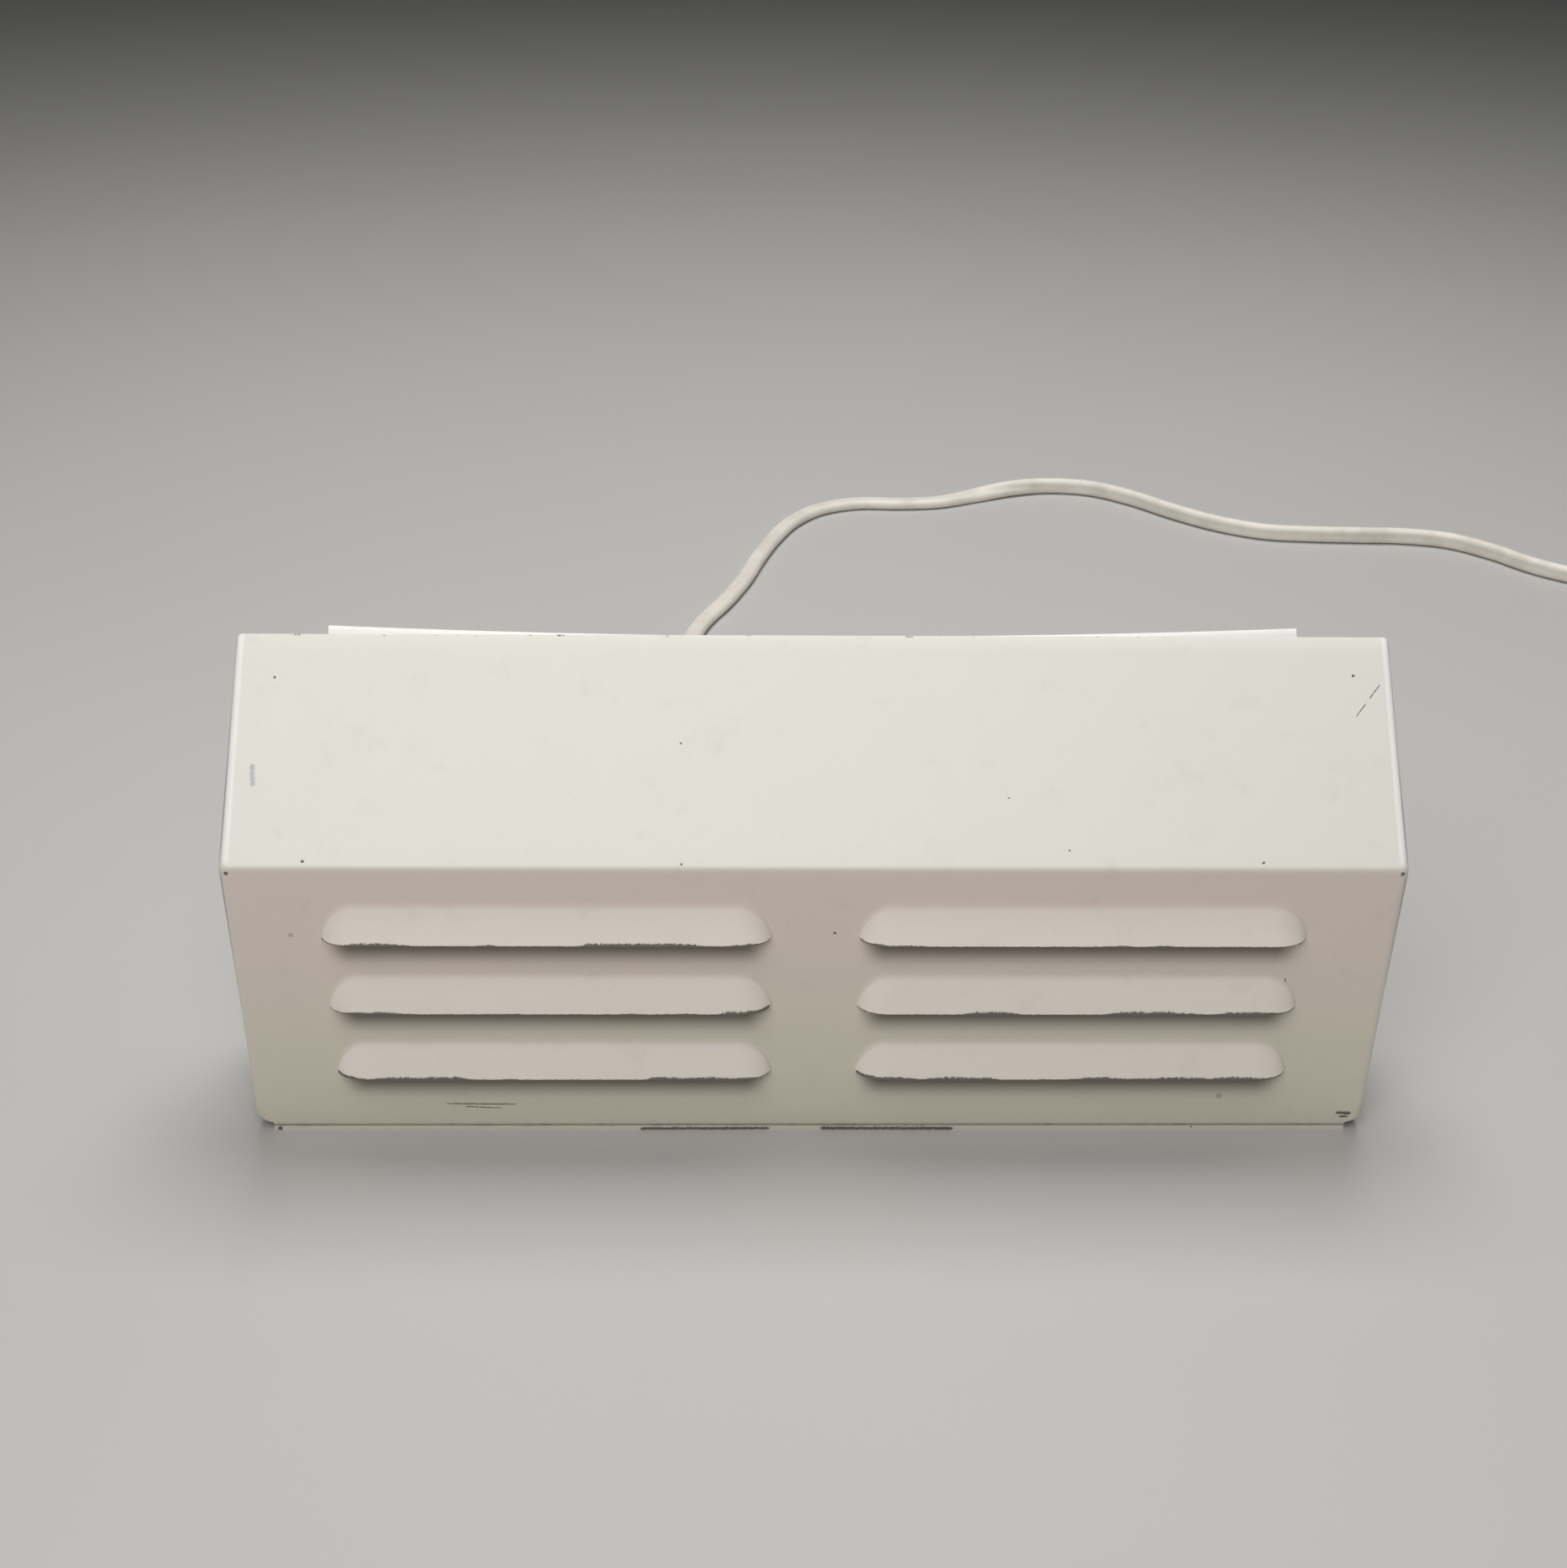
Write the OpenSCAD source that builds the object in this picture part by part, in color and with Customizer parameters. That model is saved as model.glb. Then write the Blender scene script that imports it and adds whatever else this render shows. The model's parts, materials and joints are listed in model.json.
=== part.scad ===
// Garage door opener control unit: a louvred sheet-steel housing that holds
// the transformer, relay board and radio receiver, with a flat mains cord.
// Frame: X across the housing, Y from front to back, Z up. The origin is on
// the standing surface, under the middle of the housing.

/* [Housing] */
// Width across the cover's side flanges
body_w = 300; // [290:1:370]
// Height of the upright front face, up to the bend
front_h = 84; // [80:1:110]
// Depth of the sloping top, which rises by the same amount
slope_run = 44; // [42:1:60]
// Thickness of the cover's sheet steel
cover_t = 1; // [0.8:0.1:1.2]
// Thickness of the chassis's sheet steel
chassis_t = 1.2; // [1:0.1:1.5]
// Width of the thin rear panel
panel_w = 255; // [220:1:280]

/* [Louvres] */
// Length of each louvre
louvre_len = 115; // [90:1:120]
// Gap between the two columns of louvres
louvre_gap = 22.5; // [15:0.5:30]
// Height of each louvre's hood
louvre_h = 10.5; // [9:0.5:14]
// Distance that a louvre's lip stands out from the front
louvre_out = 5; // [4:0.5:7]
// Height of the lowest lip above the standing surface
louvre_z = 21.2; // [18:0.1:25]
// Distance from one lip to the next
louvre_pitch = 21.3; // [18:0.1:26]
// Rows of louvres
louvre_rows = 3; // [1:1:3]

/* [Electrics] */
// Width of the circuit board
board_w = 178; // [170:1:200]
// Height of the circuit board
board_h = 70; // [68:1:90]
// Width of the transformer's core
core_w = 57; // [54:1:60]
// Thickness of the core's stack of laminations
core_stack = 20; // [16:1:20]
// Inward travel of the learn button
button_travel = 1; // [0.5:0.1:1.2]

/* [Mounting] */
// Distance between the two bolt holes in the base
bolt_spacing = 240; // [220:1:280]
// Diameter of the bolt holes
bolt_d = 5; // [4:0.1:6]

/* [Mains cord] */
// Width of the flat cord
cord_w = 7.4; // [6:0.1:8.6]
// Thickness of the flat cord
cord_t = 4.6; // [3.8:0.1:5.4]
// Mean radius of the coiled length
coil_r = 44; // [40:1:50]

/* [Hidden] */
$fn = 48;

// Clearances and shared sizes
gap = 0.3;           // between the cover and what it slides past
run_fit = 0.08;      // radial clearance of a turning or sliding fit
thread_fit = 0.05;   // radial clearance of a screw in its hole
pass_fit = 0.2;      // radial clearance of a screw that only passes through
over = 1;            // how far a cutting shape runs past the faces it cuts
root2 = sqrt(2);

// Screws: thread diameters, and each head's diameter and height
m3 = 3;
side_screw_d = 4;
side_head = [8, 1.8];
panel_head = [6, 1.8];
board_head = [5.6, 1.8];
core_head = [6, 2.2];

// Housing
panel_t = 0.8;
panel_bow = 5;       // how far the rear panel's ends stand behind the cover
panel_foot = 1.5;    // height of the rear panel's lower edge
panel_drop = 1;      // how far its upper edge lies below the cover's
body_h = front_h + slope_run;
front_y = -(slope_run + louvre_out + panel_bow) / 2 + louvre_out;
back_y = front_y + slope_run;
bend_r = 2.5;
foot_bend_r = 1.5;
corner_rise = 0.9;   // how far the sides end above the bottom flange
cover_z = chassis_t + gap;
side_z = cover_z + corner_rise;
notch_w = 4.5;       // corner relief beside the bottom flange
flange_d = 6;
side_in = body_w / 2 - cover_t;

// Chassis
wall_back = back_y + gap;
wall_front = wall_back - chassis_t;
ear_gap = 0.4;
ear_x = side_in - ear_gap;
ear_d = 14;
ear_z = 3;
slope_clear = 0.7;
wall_top = body_h - (back_y - wall_front) - cover_t * root2 - slope_clear;
wiring_hole_d = 14;
wiring_at = [body_w / 2 - 46, 4];
panel_screw_z = [30, 100];
side_screw_y = back_y - 7;
side_screw_z = [24, 100];
slot_w = side_screw_d + 0.6;
screw_tail = 2.5;    // how far a side screw runs on inside the chassis

// Board
edge_margin = 8;
board_t = 1.6;
spacer_h = 6;
spacer_d = 6;
board_x = body_w / 2 - edge_margin - board_w;
board_z = 12;
board_back = wall_front - spacer_h;
board_face = board_back - board_t;
screw_inset = 4.5;
screw_points = [[22, screw_inset], [board_w - screw_inset, screw_inset],
    [screw_inset, board_h - screw_inset], [board_w - screw_inset, board_h - screw_inset]];

// Transformer, an E-I core with its coil on the middle leg
core_x = -body_w / 2 + 42;
core_z = 44;
core_h = core_w * 5 / 6;
leg = core_w / 6;
window_h = core_h - 2 * leg;
core_standoff = 10.4;
core_back = wall_front - core_standoff;
core_mid_y = core_back - core_stack / 2;
bobbin_t = 1;
bobbin_fit = 0.1;
tube_w = [2 * (leg + bobbin_fit), core_stack + 2 * bobbin_fit];
flange_x = 2 * leg - gap;
flange_y = core_stack / 2 + 9;
winding_x = flange_x - 0.5;
winding_y = flange_y - 1;
winding_r = 4;
core_hole = [core_w / 2 - 3.6, core_h / 2 - 3.6];
core_spacer_d = 7;
lead_d = 1.6;
lead_pitch = 4;

// Cord entry and strain relief
entry_x = board_x - 19;
entry_z = 27;
entry_d = 12;
relief_flange_t = 2;
relief_ring = [2.3, 2.4];  // the outer flange's start behind the wall, and its thickness
relief_l = 39.7;
relief_end = wall_back + relief_l;
core_wire_d = 2.2;

// Mains terminal and fuse, in the board's own frame
terminal_at = [2, 4];
terminal_size = [12, 22, 14];
pole_y = [6, 16];
pole_z = 4.5;
clamp_at = [3, -3.4, 1.5];
clamp_size = [6, 6.8, 8];
fuse_at = [4, 36];
fuse_d = 5.2;
fuse_glass_d = 5;
fuse_z = 4.2;
fuse_len = 20;
fuse_cap_l = 5;
clip_t = 0.6;
clip_w = 4;

// Relays, in the board's own frame
relay_at = [[32, 10], [58, 10]];
relay_size = [18, 28, 3];
coil_at_y = 13;
coil_d = 12;
coil_h0 = 4;
coil_l = 12;
pole_d = 8;
yoke_w = 10;
yoke_t = 1.2;
yoke_y = [8, 20];           // where the yoke's foot starts, and its upright
yoke_top = 18;
arm_pivot = [20.6, 18.3];   // depth along the board and height above it
arm_pin_d = 0.8;
arm_w = 11;
arm_t = 1.2;
arm_y = [6, 21.6];
contact_y = 4.2;
contact_w = 4;
contact_d = 2.4;
contact_h = 15;

// Power supply and logic, in the board's own frame
capacitor_at = [44, 55];
capacitor_d = 16;
capacitor_h = 23;
rectifier_at = [60, 47];
rectifier_size = [12, 15, 7];
sink_at = [76, 42];
sink_size = [26, 24, 2];
fin_x = [0, 3, 19.5, 22.5, 25.2];
fin_size = [0.8, 24, 11];
regulator_at = [84, 46];
regulator_size = [10, 9.2, 3.1];
tab_size = [10, 15.6, 1.3];
chip_at = [79, 20];
chip_size = [23, 6.4, 3.3];
chip_lift = 0.7;
chip_pins = 9;
pin_pitch = 2.54;
receiver_at = [120, 40];
receiver_size = [52, 24, 1.2];
receiver_lift = 8;
header_x = [3, 39];
header_size = [10, 2.5];
can_at = [10, 8];
can_size = [8, 8, 8.5];
antenna_at = [46, 20];
antenna_rise = 3.8;
antenna_run = 24;
output_at = [82, 2];
output_size = [31, 10, 11];
output_poles = 6;
output_pitch = 5;

// Controls, in the board's own frame
switch_at = [108, 14];
switch_poles = 4;
switch_h = 4.5;
slider_pitch = 2.54;
slider_travel = 3;
slider_size = [1.4, 2.4, 1.9];
slider_floor = 3;
button_at = [134, 20];
button_base = [12, 12, 4];
button_bore = 7;
button_floor = 0.8;
button_top = 8.6;
trimmer_at = [[150, 20], [164, 20]];
trimmer_size = [9.6, 9.6, 4.6];
dial_d = 6;
dial_floor = 3;
dial_h = 2;

// Cord: X and Y from the strain relief's tip, Z from the standing surface, and
// the section's turn from lying flat (0) to standing on edge (90)
flat_z = cord_t / 2;
edge_z = cord_w / 2;
cord_route = [
    [0, 0, entry_z, 0], [0, 5, entry_z, 0], [0, 13, 26, 0], [0, 24, 22.5, 0],
    [0, 37, 16, 0], [0, 50, 9.5, 0], [1, 65, 4.6, 0], [1, 83, flat_z, 0], [2, 105, flat_z, 0],
    [4, 127, flat_z, 0], [6, 149, flat_z, 0], [8, 171, flat_z, 0],
    [10, 193, flat_z, 0], [13, 214, flat_z, 0], [18, 234, flat_z, 0],
    [27, 255, flat_z, 0], [35, 278, flat_z, 0], [41, 301, flat_z, 0],
    [48, 323, flat_z, 0], [57, 343, flat_z, 0], [70, 358, flat_z, 0],
    [87, 365, flat_z, 0], [107, 365, flat_z, 0], [125, 367, flat_z, 0],
    [142, 374, 2.8, 25], [160, 381, 3.8, 65], [179, 385, edge_z, 90],
    [198, 382, edge_z, 90], [216, 370, edge_z, 90], [232, 354, edge_z, 90],
    [249, 340, edge_z, 90], [269, 330, edge_z, 90], [291, 327, edge_z, 90],
    [313, 326, edge_z, 90], [333, 325, edge_z, 90], [351, 320, edge_z, 90],
    [366, 308, edge_z, 90], [379, 293, edge_z, 90], [395, 281, edge_z, 90],
    [411, 274, edge_z, 90], [425, 271, edge_z, 90], [436, 270, edge_z, 90]];
cord_path = [for (p = cord_route) [p[0] + entry_x, p[1] + relief_end, p[2], p[3]]];
ring_sides = 8;
ease_l = 3;               // stretch of wire on each side of a bend that eases it
coil_at = [445, 218];     // middle of the coil from the strain relief's tip
coil_x = entry_x + coil_at[0];
coil_y = relief_end + coil_at[1];
coil_half = 2 * (cord_t + 0.3);   // four turns side by side
tie_t = 0.8;
tie_w = 4;
tie_fit = 0.2;
coil_h = cord_w + 1.4;
plug_x = coil_x + 37;
plug_y = coil_y - 92;     // where the plug's body starts, behind its pins
plug_l = 24;
plug_h = 14;
plug_w = 35;
plug_sleeve_d = 11;
pin_d = 4;
pin_l = 19;
pin_gap = 18.4;
tail_end = coil_y - 40;

// ---- shared shapes ----

// A block given by its low and high X, Y and Z
module block(x, y, z)
    translate([x[0], y[0], z[0]]) cube([x[1] - x[0], y[1] - y[0], z[1] - z[0]]);

// A rod of diameter d along X, Y or Z, from its start to a length
module rod_x(at, l, d) translate(at) rotate([0, 90, 0]) cylinder(h = l, d = d);
module rod_y(at, l, d) translate(at) rotate([-90, 0, 0]) cylinder(h = l, d = d);
module rod_z(at, l, d) translate(at) cylinder(h = l, d = d);

// An outline drawn in Y and Z, drawn out along X
module along_x(x0, x1, points)
    translate([x0, 0, 0]) rotate([90, 0, 90]) linear_extrude(x1 - x0) polygon(points);

// Places children on the board: X and Y along it, Z out towards the front
module on_board(at = [0, 0])
    translate([board_x + at[0], board_face, board_z + at[1]]) rotate([90, 0, 0]) children();

function unit(v) = v / norm(v);
function xyz(p) = [p[0], p[1], p[2]];

// A level direction across the route, or X where the route runs upright
function level_side(along) = let (side = cross([0, 0, 1], along))
    norm(side) > 0.05 ? unit(side) : [1, 0, 0];

// One ring of an oval section w by t, set across the route at point i
function ring_at(route, i, w, t) = let (
        n = len(route), p = xyz(route[i]), turn = route[i][3],
        along = unit(xyz(route[min(i + 1, n - 1)]) - xyz(route[max(i - 1, 0)])),
        side = level_side(along), up = cross(along, side),
        wide = side * cos(turn) + up * sin(turn), thin = up * cos(turn) - side * sin(turn),
        fill = 1 / cos(180 / ring_sides))
    [for (k = [0 : ring_sides - 1]) let (a = 360 * (k + 0.5) / ring_sides)
        p + wide * w / 2 * fill * cos(a) + thin * t / 2 * fill * sin(a)];

// An oval tube swept along a route of [x, y, z, turn] points
module tube(route, w, t) {
    n = len(route);
    rings = [for (i = [0 : n - 1]) each ring_at(route, i, w, t)];
    walls = [for (i = [0 : n - 2], k = [0 : ring_sides - 1])
        let (a = i * ring_sides + k, b = i * ring_sides + (k + 1) % ring_sides)
            [b, a, a + ring_sides, b + ring_sides]];
    polyhedron(rings, concat([[for (k = [0 : ring_sides - 1]) k]], walls,
        [[for (k = [ring_sides - 1 : -1 : 0]) (n - 1) * ring_sides + k]]), convexity = 10);
}

// A wire through a list of points, its bends eased over a stretch on each side
module wire(points, d) tube(eased(points, ease_l), d, d);

// Replaces each inner point by three points on a short curve around it
function eased(points, r) = concat([start_point(points[0])], [
    for (i = [1 : len(points) - 2])
        let (p = points[i], back = unit(points[i - 1] - p) * r, on = unit(points[i + 1] - p) * r)
            for (q = [p + back, p + (back + on) / 4, p + on]) start_point(q)],
    [start_point(points[len(points) - 1])]);

// A route point with no turn of its section
function start_point(p) = [p[0], p[1], p[2], 0];

// A pan-head screw pointing down, with its head standing on Z = 0
module screw(d, l, head) {
    head_d = head[0];
    head_h = head[1];
    rim = 0.6 * head_h;
    slot = [0.56 * head_d, 0.14 * head_d];
    difference() {
        union() {
            cylinder(h = rim, d = head_d);
            translate([0, 0, rim]) cylinder(h = head_h - rim, d1 = head_d, d2 = 0.7 * head_d);
        }
        for (turn = [0, 90])
            rotate(turn) translate([-slot[0] / 2, -slot[1] / 2, 0.45 * head_h])
                cube([slot[0], slot[1], head_h]);
    }
    translate([0, 0, -l]) cylinder(h = l, d = d);
}

// A block with its four upright edges rounded, centred on X and Y
module soft_block(w, d, h, r)
    linear_extrude(h) union() {
        square([w - 2 * r, d], center = true);
        square([w, d - 2 * r], center = true);
        for (i = [-1, 1], j = [-1, 1])
            translate([i * (w / 2 - r), j * (d / 2 - r)]) circle(r);
    }

// ---- housing ----

function arc(cy, cz, r, from, to, steps = 6) =
    [for (i = [0 : steps]) let (a = from + (to - from) * i / steps)
        [cy + r * cos(a), cz + r * sin(a)]];

// Outside or inside of the cover's fold, from the bottom flange to the back edge
function fold_line(t) = concat(
    [[front_y + flange_d, cover_z + t]],
    arc(front_y + foot_bend_r, cover_z + foot_bend_r, foot_bend_r - t, 270, 180),
    arc(front_y + bend_r, front_h - bend_r * tan(22.5), bend_r - t, 180, 135),
    [[back_y, body_h - t * root2]]);

function reversed(list) = [for (i = [len(list) - 1 : -1 : 0]) list[i]];

// Half of a louvre's section: r out from the face, z above the lip
function hood_line(t) =
    [for (i = [0 : 8]) let (a = 90 * i / 8)
        [(louvre_out - t) * cos(a), (louvre_h - t) * sin(a)]];

module hood_outline() polygon(concat(hood_line(0), reversed(hood_line(cover_t))));

// The opening sheared in the face behind one hood, drawn in X and Z
function mouth_outline() = let (a = louvre_len / 2 - louvre_out, line = hood_line(cover_t))
    concat([for (p = line) [a + p[0], p[1]]], [for (p = reversed(line)) [-a - p[0], p[1]]]);

module louvre_mouth()
    translate([0, front_y + cover_t + over, 0]) rotate([90, 0, 0])
        linear_extrude(cover_t + 2 * over) polygon(mouth_outline());

module louvre_hood() {
    run = louvre_len - 2 * louvre_out;
    translate([-run / 2, front_y, 0]) rotate([90, 0, 90]) linear_extrude(run)
        mirror([1, 0]) union() {
            hood_outline();
            translate([-cover_t / 2, louvre_h - cover_t]) square([cover_t / 2 + 0.5, cover_t]);
        }
    for (side = [-1, 1])
        translate([side * run / 2, front_y, 0]) rotate(side > 0 ? -90 : 180)
            rotate_extrude(angle = 90) hood_outline();
}

module at_louvres()
    for (side = [-1, 1], row = [0 : louvre_rows - 1])
        translate([side * (louvre_gap + louvre_len) / 2, 0, louvre_z + row * louvre_pitch])
            children();

module cover_side(side)
    along_x(side > 0 ? side_in : -body_w / 2, side > 0 ? body_w / 2 : -side_in, concat(
        [[back_y, side_z], [front_y, side_z]],
        arc(front_y + bend_r, front_h - bend_r * tan(22.5), bend_r, 180, 135),
        [[back_y, body_h]]));

module cover()
    color([0.87, 0.86, 0.82]) {
        difference() {
            union() {
                along_x(-body_w / 2, body_w / 2,
                    concat(fold_line(0), reversed(fold_line(cover_t))));
                cover_side(-1);
                cover_side(1);
            }
            // corner reliefs beside the bottom flange
            for (side = [-1, 1])
                translate([side * (body_w / 2 - notch_w / 2 + over), front_y + flange_d / 2, 0])
                    cube([notch_w + 2 * over, flange_d + 2 * over, 2 * side_z], center = true);
            at_louvres() louvre_mouth();
            // open-ended screw slots at the back of each side
            for (z = side_screw_z) {
                block([-body_w / 2 - over, body_w / 2 + over], [side_screw_y, back_y + over],
                    [z - slot_w / 2, z + slot_w / 2]);
                rod_x([-body_w / 2 - over, side_screw_y, z], body_w + 2 * over, slot_w);
            }
        }
        at_louvres() louvre_hood();
    }

module chassis()
    color([0.80, 0.79, 0.76]) difference() {
        union() {
            block([-body_w / 2 + notch_w, body_w / 2 - notch_w], [front_y + gap, wall_back],
                [0, chassis_t]);
            block([-body_w / 2 + notch_w, body_w / 2 - notch_w], [wall_front, wall_back],
                [0, wall_top]);
            block([-ear_x, ear_x], [wall_front, wall_back], [ear_z, wall_top]);
            for (x = [-ear_x, ear_x - chassis_t])
                along_x(x, x + chassis_t, [[wall_back, ear_z], [back_y - ear_d, ear_z],
                    [back_y - ear_d, wall_top - (wall_front - back_y + ear_d)],
                    [wall_front, wall_top], [wall_back, wall_top]]);
        }
        for (side = [-1, 1])
            rod_z([side * bolt_spacing / 2, 0, -over], chassis_t + 2 * over, bolt_d);
        for (z = side_screw_z)
            rod_x([-body_w / 2, side_screw_y, z], body_w, side_screw_d + 2 * thread_fit);
        for (z = panel_screw_z) wall_hole([0, z], m3 + 2 * thread_fit);
        for (i = [-1, 1], j = [-1, 1])
            wall_hole([core_x + i * core_hole[0], core_z + j * core_hole[1]],
                m3 + 2 * thread_fit);
        wall_hole([entry_x, entry_z], entry_d);
        rod_z([wiring_at[0], wiring_at[1], -over], chassis_t + 2 * over, wiring_hole_d);
    }

// A hole through the chassis's back wall, at X and Z
module wall_hole(at, d) rod_y([at[0], wall_front - over, at[1]], chassis_t + 2 * over, d);

// Thin sheet sprung into a shallow bow, held at its middle
module rear_panel() {
    sag = panel_bow - gap - panel_t;
    r = (pow(panel_w / 2, 2) + pow(sag, 2)) / (2 * sag);
    h = body_h - panel_drop - panel_foot;
    color([0.95, 0.95, 0.94]) difference() {
        intersection() {
            translate([0, wall_back + r, panel_foot]) difference() {
                cylinder(h = h, r = r, $fn = 720);
                translate([0, 0, -over]) cylinder(h = h + 2 * over, r = r - panel_t, $fn = 720);
            }
            block([-panel_w / 2, panel_w / 2], [wall_back - over, wall_back + 2 * panel_bow],
                [0, body_h]);
        }
        for (z = panel_screw_z) panel_hole([0, z], m3 + 2 * pass_fit);
        panel_hole([entry_x, entry_z], entry_d + 4);
    }
}

// A hole through the rear panel, at X and Z
module panel_hole(at, d) rod_y([at[0], wall_back - over, at[1]], 2 * panel_bow, d);

module cover_screws() {
    reach = gap + cover_t + ear_gap + chassis_t + screw_tail;
    color("silver") for (side = [-1, 1], z = side_screw_z)
        translate([side * (body_w / 2 + gap), side_screw_y, z]) rotate([0, side * 90, 0])
            screw(side_screw_d, reach, side_head);
}

module rear_panel_screws()
    color("silver") for (z = panel_screw_z)
        translate([0, wall_back + panel_t + thread_fit, z]) rotate([-90, 0, 0])
            screw(m3, panel_t + chassis_t + 1.5, panel_head);

// ---- circuit board ----

module circuit_board()
    color([0.10, 0.36, 0.20]) on_board() difference() {
        translate([0, 0, -board_t]) cube([board_w, board_h, board_t]);
        for (p = screw_points)
            rod_z([p[0], p[1], -board_t - over], board_t + 2 * over, m3 + 2 * pass_fit);
    }

module board_spacers()
    color([0.85, 0.85, 0.80]) on_board() for (p = screw_points)
        translate([p[0], p[1], -board_t - spacer_h])
            sleeve(spacer_h, spacer_d, m3 + 2 * thread_fit);

// A short tube standing on Z = 0
module sleeve(h, d, bore)
    difference() {
        cylinder(h = h, d = d);
        translate([0, 0, -over]) cylinder(h = h + 2 * over, d = bore);
    }

module board_screws()
    color("silver") on_board() for (p = screw_points)
        translate([p[0], p[1], 0]) screw(m3, board_t + spacer_h - 0.5, board_head);

// ---- transformer ----

module at_core() translate([core_x, core_mid_y, core_z]) children();

module at_core_corners()
    at_core() for (i = [-1, 1], j = [-1, 1])
        translate([i * core_hole[0], 0, j * core_hole[1]]) children();

module transformer_core()
    color([0.42, 0.42, 0.44]) difference() {
        at_core() cube([core_w, core_stack, core_h], center = true);
        at_core() for (side = [-1, 1])
            translate([side * 1.5 * leg, 0, 0])
                cube([leg, core_stack + 2 * over, window_h], center = true);
        at_core_corners() rod_y([0, -core_stack, 0], 2 * core_stack, m3 + 2 * pass_fit);
    }

// The outline of the core's middle leg, grown on every side
module leg_outline(grow) square([tube_w[0] + 2 * grow, tube_w[1] + 2 * grow], center = true);

module bobbin_plate(z, t)
    translate([0, 0, z]) linear_extrude(t) difference() {
        square([2 * flange_x, 2 * flange_y], center = true);
        leg_outline(0);
    }

module transformer_bobbin()
    color([0.92, 0.90, 0.80]) at_core() {
        bobbin_plate(-window_h / 2, bobbin_t);
        bobbin_plate(-bobbin_t / 2, bobbin_t);
        bobbin_plate(window_h / 2 - bobbin_t, bobbin_t);
        translate([0, 0, -window_h / 2]) linear_extrude(window_h) difference() {
            leg_outline(bobbin_t);
            leg_outline(0);
        }
    }

module winding(z0, z1)
    at_core() translate([0, 0, z0]) difference() {
        soft_block(2 * winding_x, 2 * winding_y, z1 - z0, winding_r);
        translate([0, 0, -over]) linear_extrude(z1 - z0 + 2 * over) leg_outline(bobbin_t);
    }

module primary_winding()
    color([0.72, 0.50, 0.16]) winding(-window_h / 2 + bobbin_t, -bobbin_t / 2);

module secondary_winding()
    color([0.62, 0.30, 0.12]) winding(bobbin_t / 2, window_h / 2 - bobbin_t);

module transformer_spacers()
    color("silver") at_core_corners()
        translate([0, core_stack / 2, 0]) rotate([-90, 0, 0])
            sleeve(core_standoff, core_spacer_d, m3 + 2 * pass_fit);

module transformer_bolts()
    color("silver") at_core_corners()
        translate([0, -core_stack / 2, 0]) rotate([90, 0, 0])
            screw(m3, core_stack + core_standoff + chassis_t, core_head);

// Two wires from a winding's front to the board, at board height pad_y
module winding_leads(z, pad_y)
    for (i = [0, 1]) {
        pad_x = board_x + 5 + 2 * i;
        pad_z = board_z + pad_y + lead_pitch * i;
        wire([[core_x + 12, core_mid_y - winding_y - 0.2, z + lead_pitch * i],
            [core_x + core_w / 2 + 2, core_mid_y - winding_y + 3, z + lead_pitch * i],
            [board_x - 22, 2, pad_z], [pad_x, board_face - 6, pad_z],
            [pad_x, board_face, pad_z]], lead_d);
    }

module primary_leads() color([0.75, 0.12, 0.10]) winding_leads(core_z - 8, 42);

module secondary_leads() color([0.95, 0.80, 0.15]) winding_leads(core_z + 4, 52);

// ---- mains input ----

module at_clamps()
    on_board(terminal_at) for (y = pole_y) translate([clamp_at[0], y + clamp_at[1], clamp_at[2]])
        children();

module mains_terminal()
    color([0.86, 0.86, 0.82]) difference() {
        on_board(terminal_at) cube(terminal_size);
        at_clamps() {
            cube(clamp_size);
            rod_z([clamp_size[0] / 2, clamp_size[1] / 2, clamp_size[2] - over], 10, 4.4);
            rod_x([-clamp_at[0] - over, clamp_size[1] / 2, pole_z - clamp_at[2]],
                clamp_at[0] + 2 * over, core_wire_d + 4 * pass_fit);
        }
    }

module terminal_clamps()
    color([0.80, 0.65, 0.30]) at_clamps() difference() {
        cube(clamp_size);
        rod_z([clamp_size[0] / 2, clamp_size[1] / 2, 1.5], 10, 2.5 + 2 * thread_fit);
    }

module terminal_screws()
    color("silver") at_clamps()
        translate([clamp_size[0] / 2, clamp_size[1] / 2, clamp_size[2]]) difference() {
            union() {
                cylinder(h = 1.8, d = 4);
                translate([0, 0, -5]) cylinder(h = 5, d = 2.5);
            }
            translate([-3, -0.4, 1]) cube([6, 0.8, 2]);
        }

// A cord core from the strain relief to one pole of the terminal
module mains_lead(rise, pole) {
    depth = board_face - pole_z;
    height = board_z + terminal_at[1] + pole;
    wire([[entry_x, wall_front - relief_flange_t, entry_z + rise],
        [entry_x, depth + 3, entry_z + rise], [board_x - 8, depth, height],
        [board_x + terminal_at[0] + clamp_at[0], depth, height]], core_wire_d);
}

module live_lead() color([0.45, 0.25, 0.12]) mains_lead(1.6, pole_y[1]);

module neutral_lead() color([0.12, 0.30, 0.65]) mains_lead(-1.6, pole_y[0]);

module fuse_tube()
    color([0.85, 0.92, 0.92, 0.5]) on_board(fuse_at)
        rod_x([fuse_cap_l, 0, fuse_z], fuse_len - 2 * fuse_cap_l, fuse_glass_d);

module fuse_caps()
    color("silver") on_board(fuse_at) for (x = [0, fuse_len - fuse_cap_l])
        rod_x([x, 0, fuse_z], fuse_cap_l, fuse_d);

module fuse_clips()
    color([0.80, 0.65, 0.30]) on_board(fuse_at)
        for (x = [0.5, fuse_len - clip_w - 0.5]) translate([x, 0, 0]) {
            translate([0, -fuse_d / 2, 0]) cube([clip_w, fuse_d, clip_t]);
            for (y = [-fuse_d / 2 - clip_t, fuse_d / 2])
                translate([0, y, 0]) cube([clip_w, clip_t, fuse_z + 2]);
        }

// ---- relays ----

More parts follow.
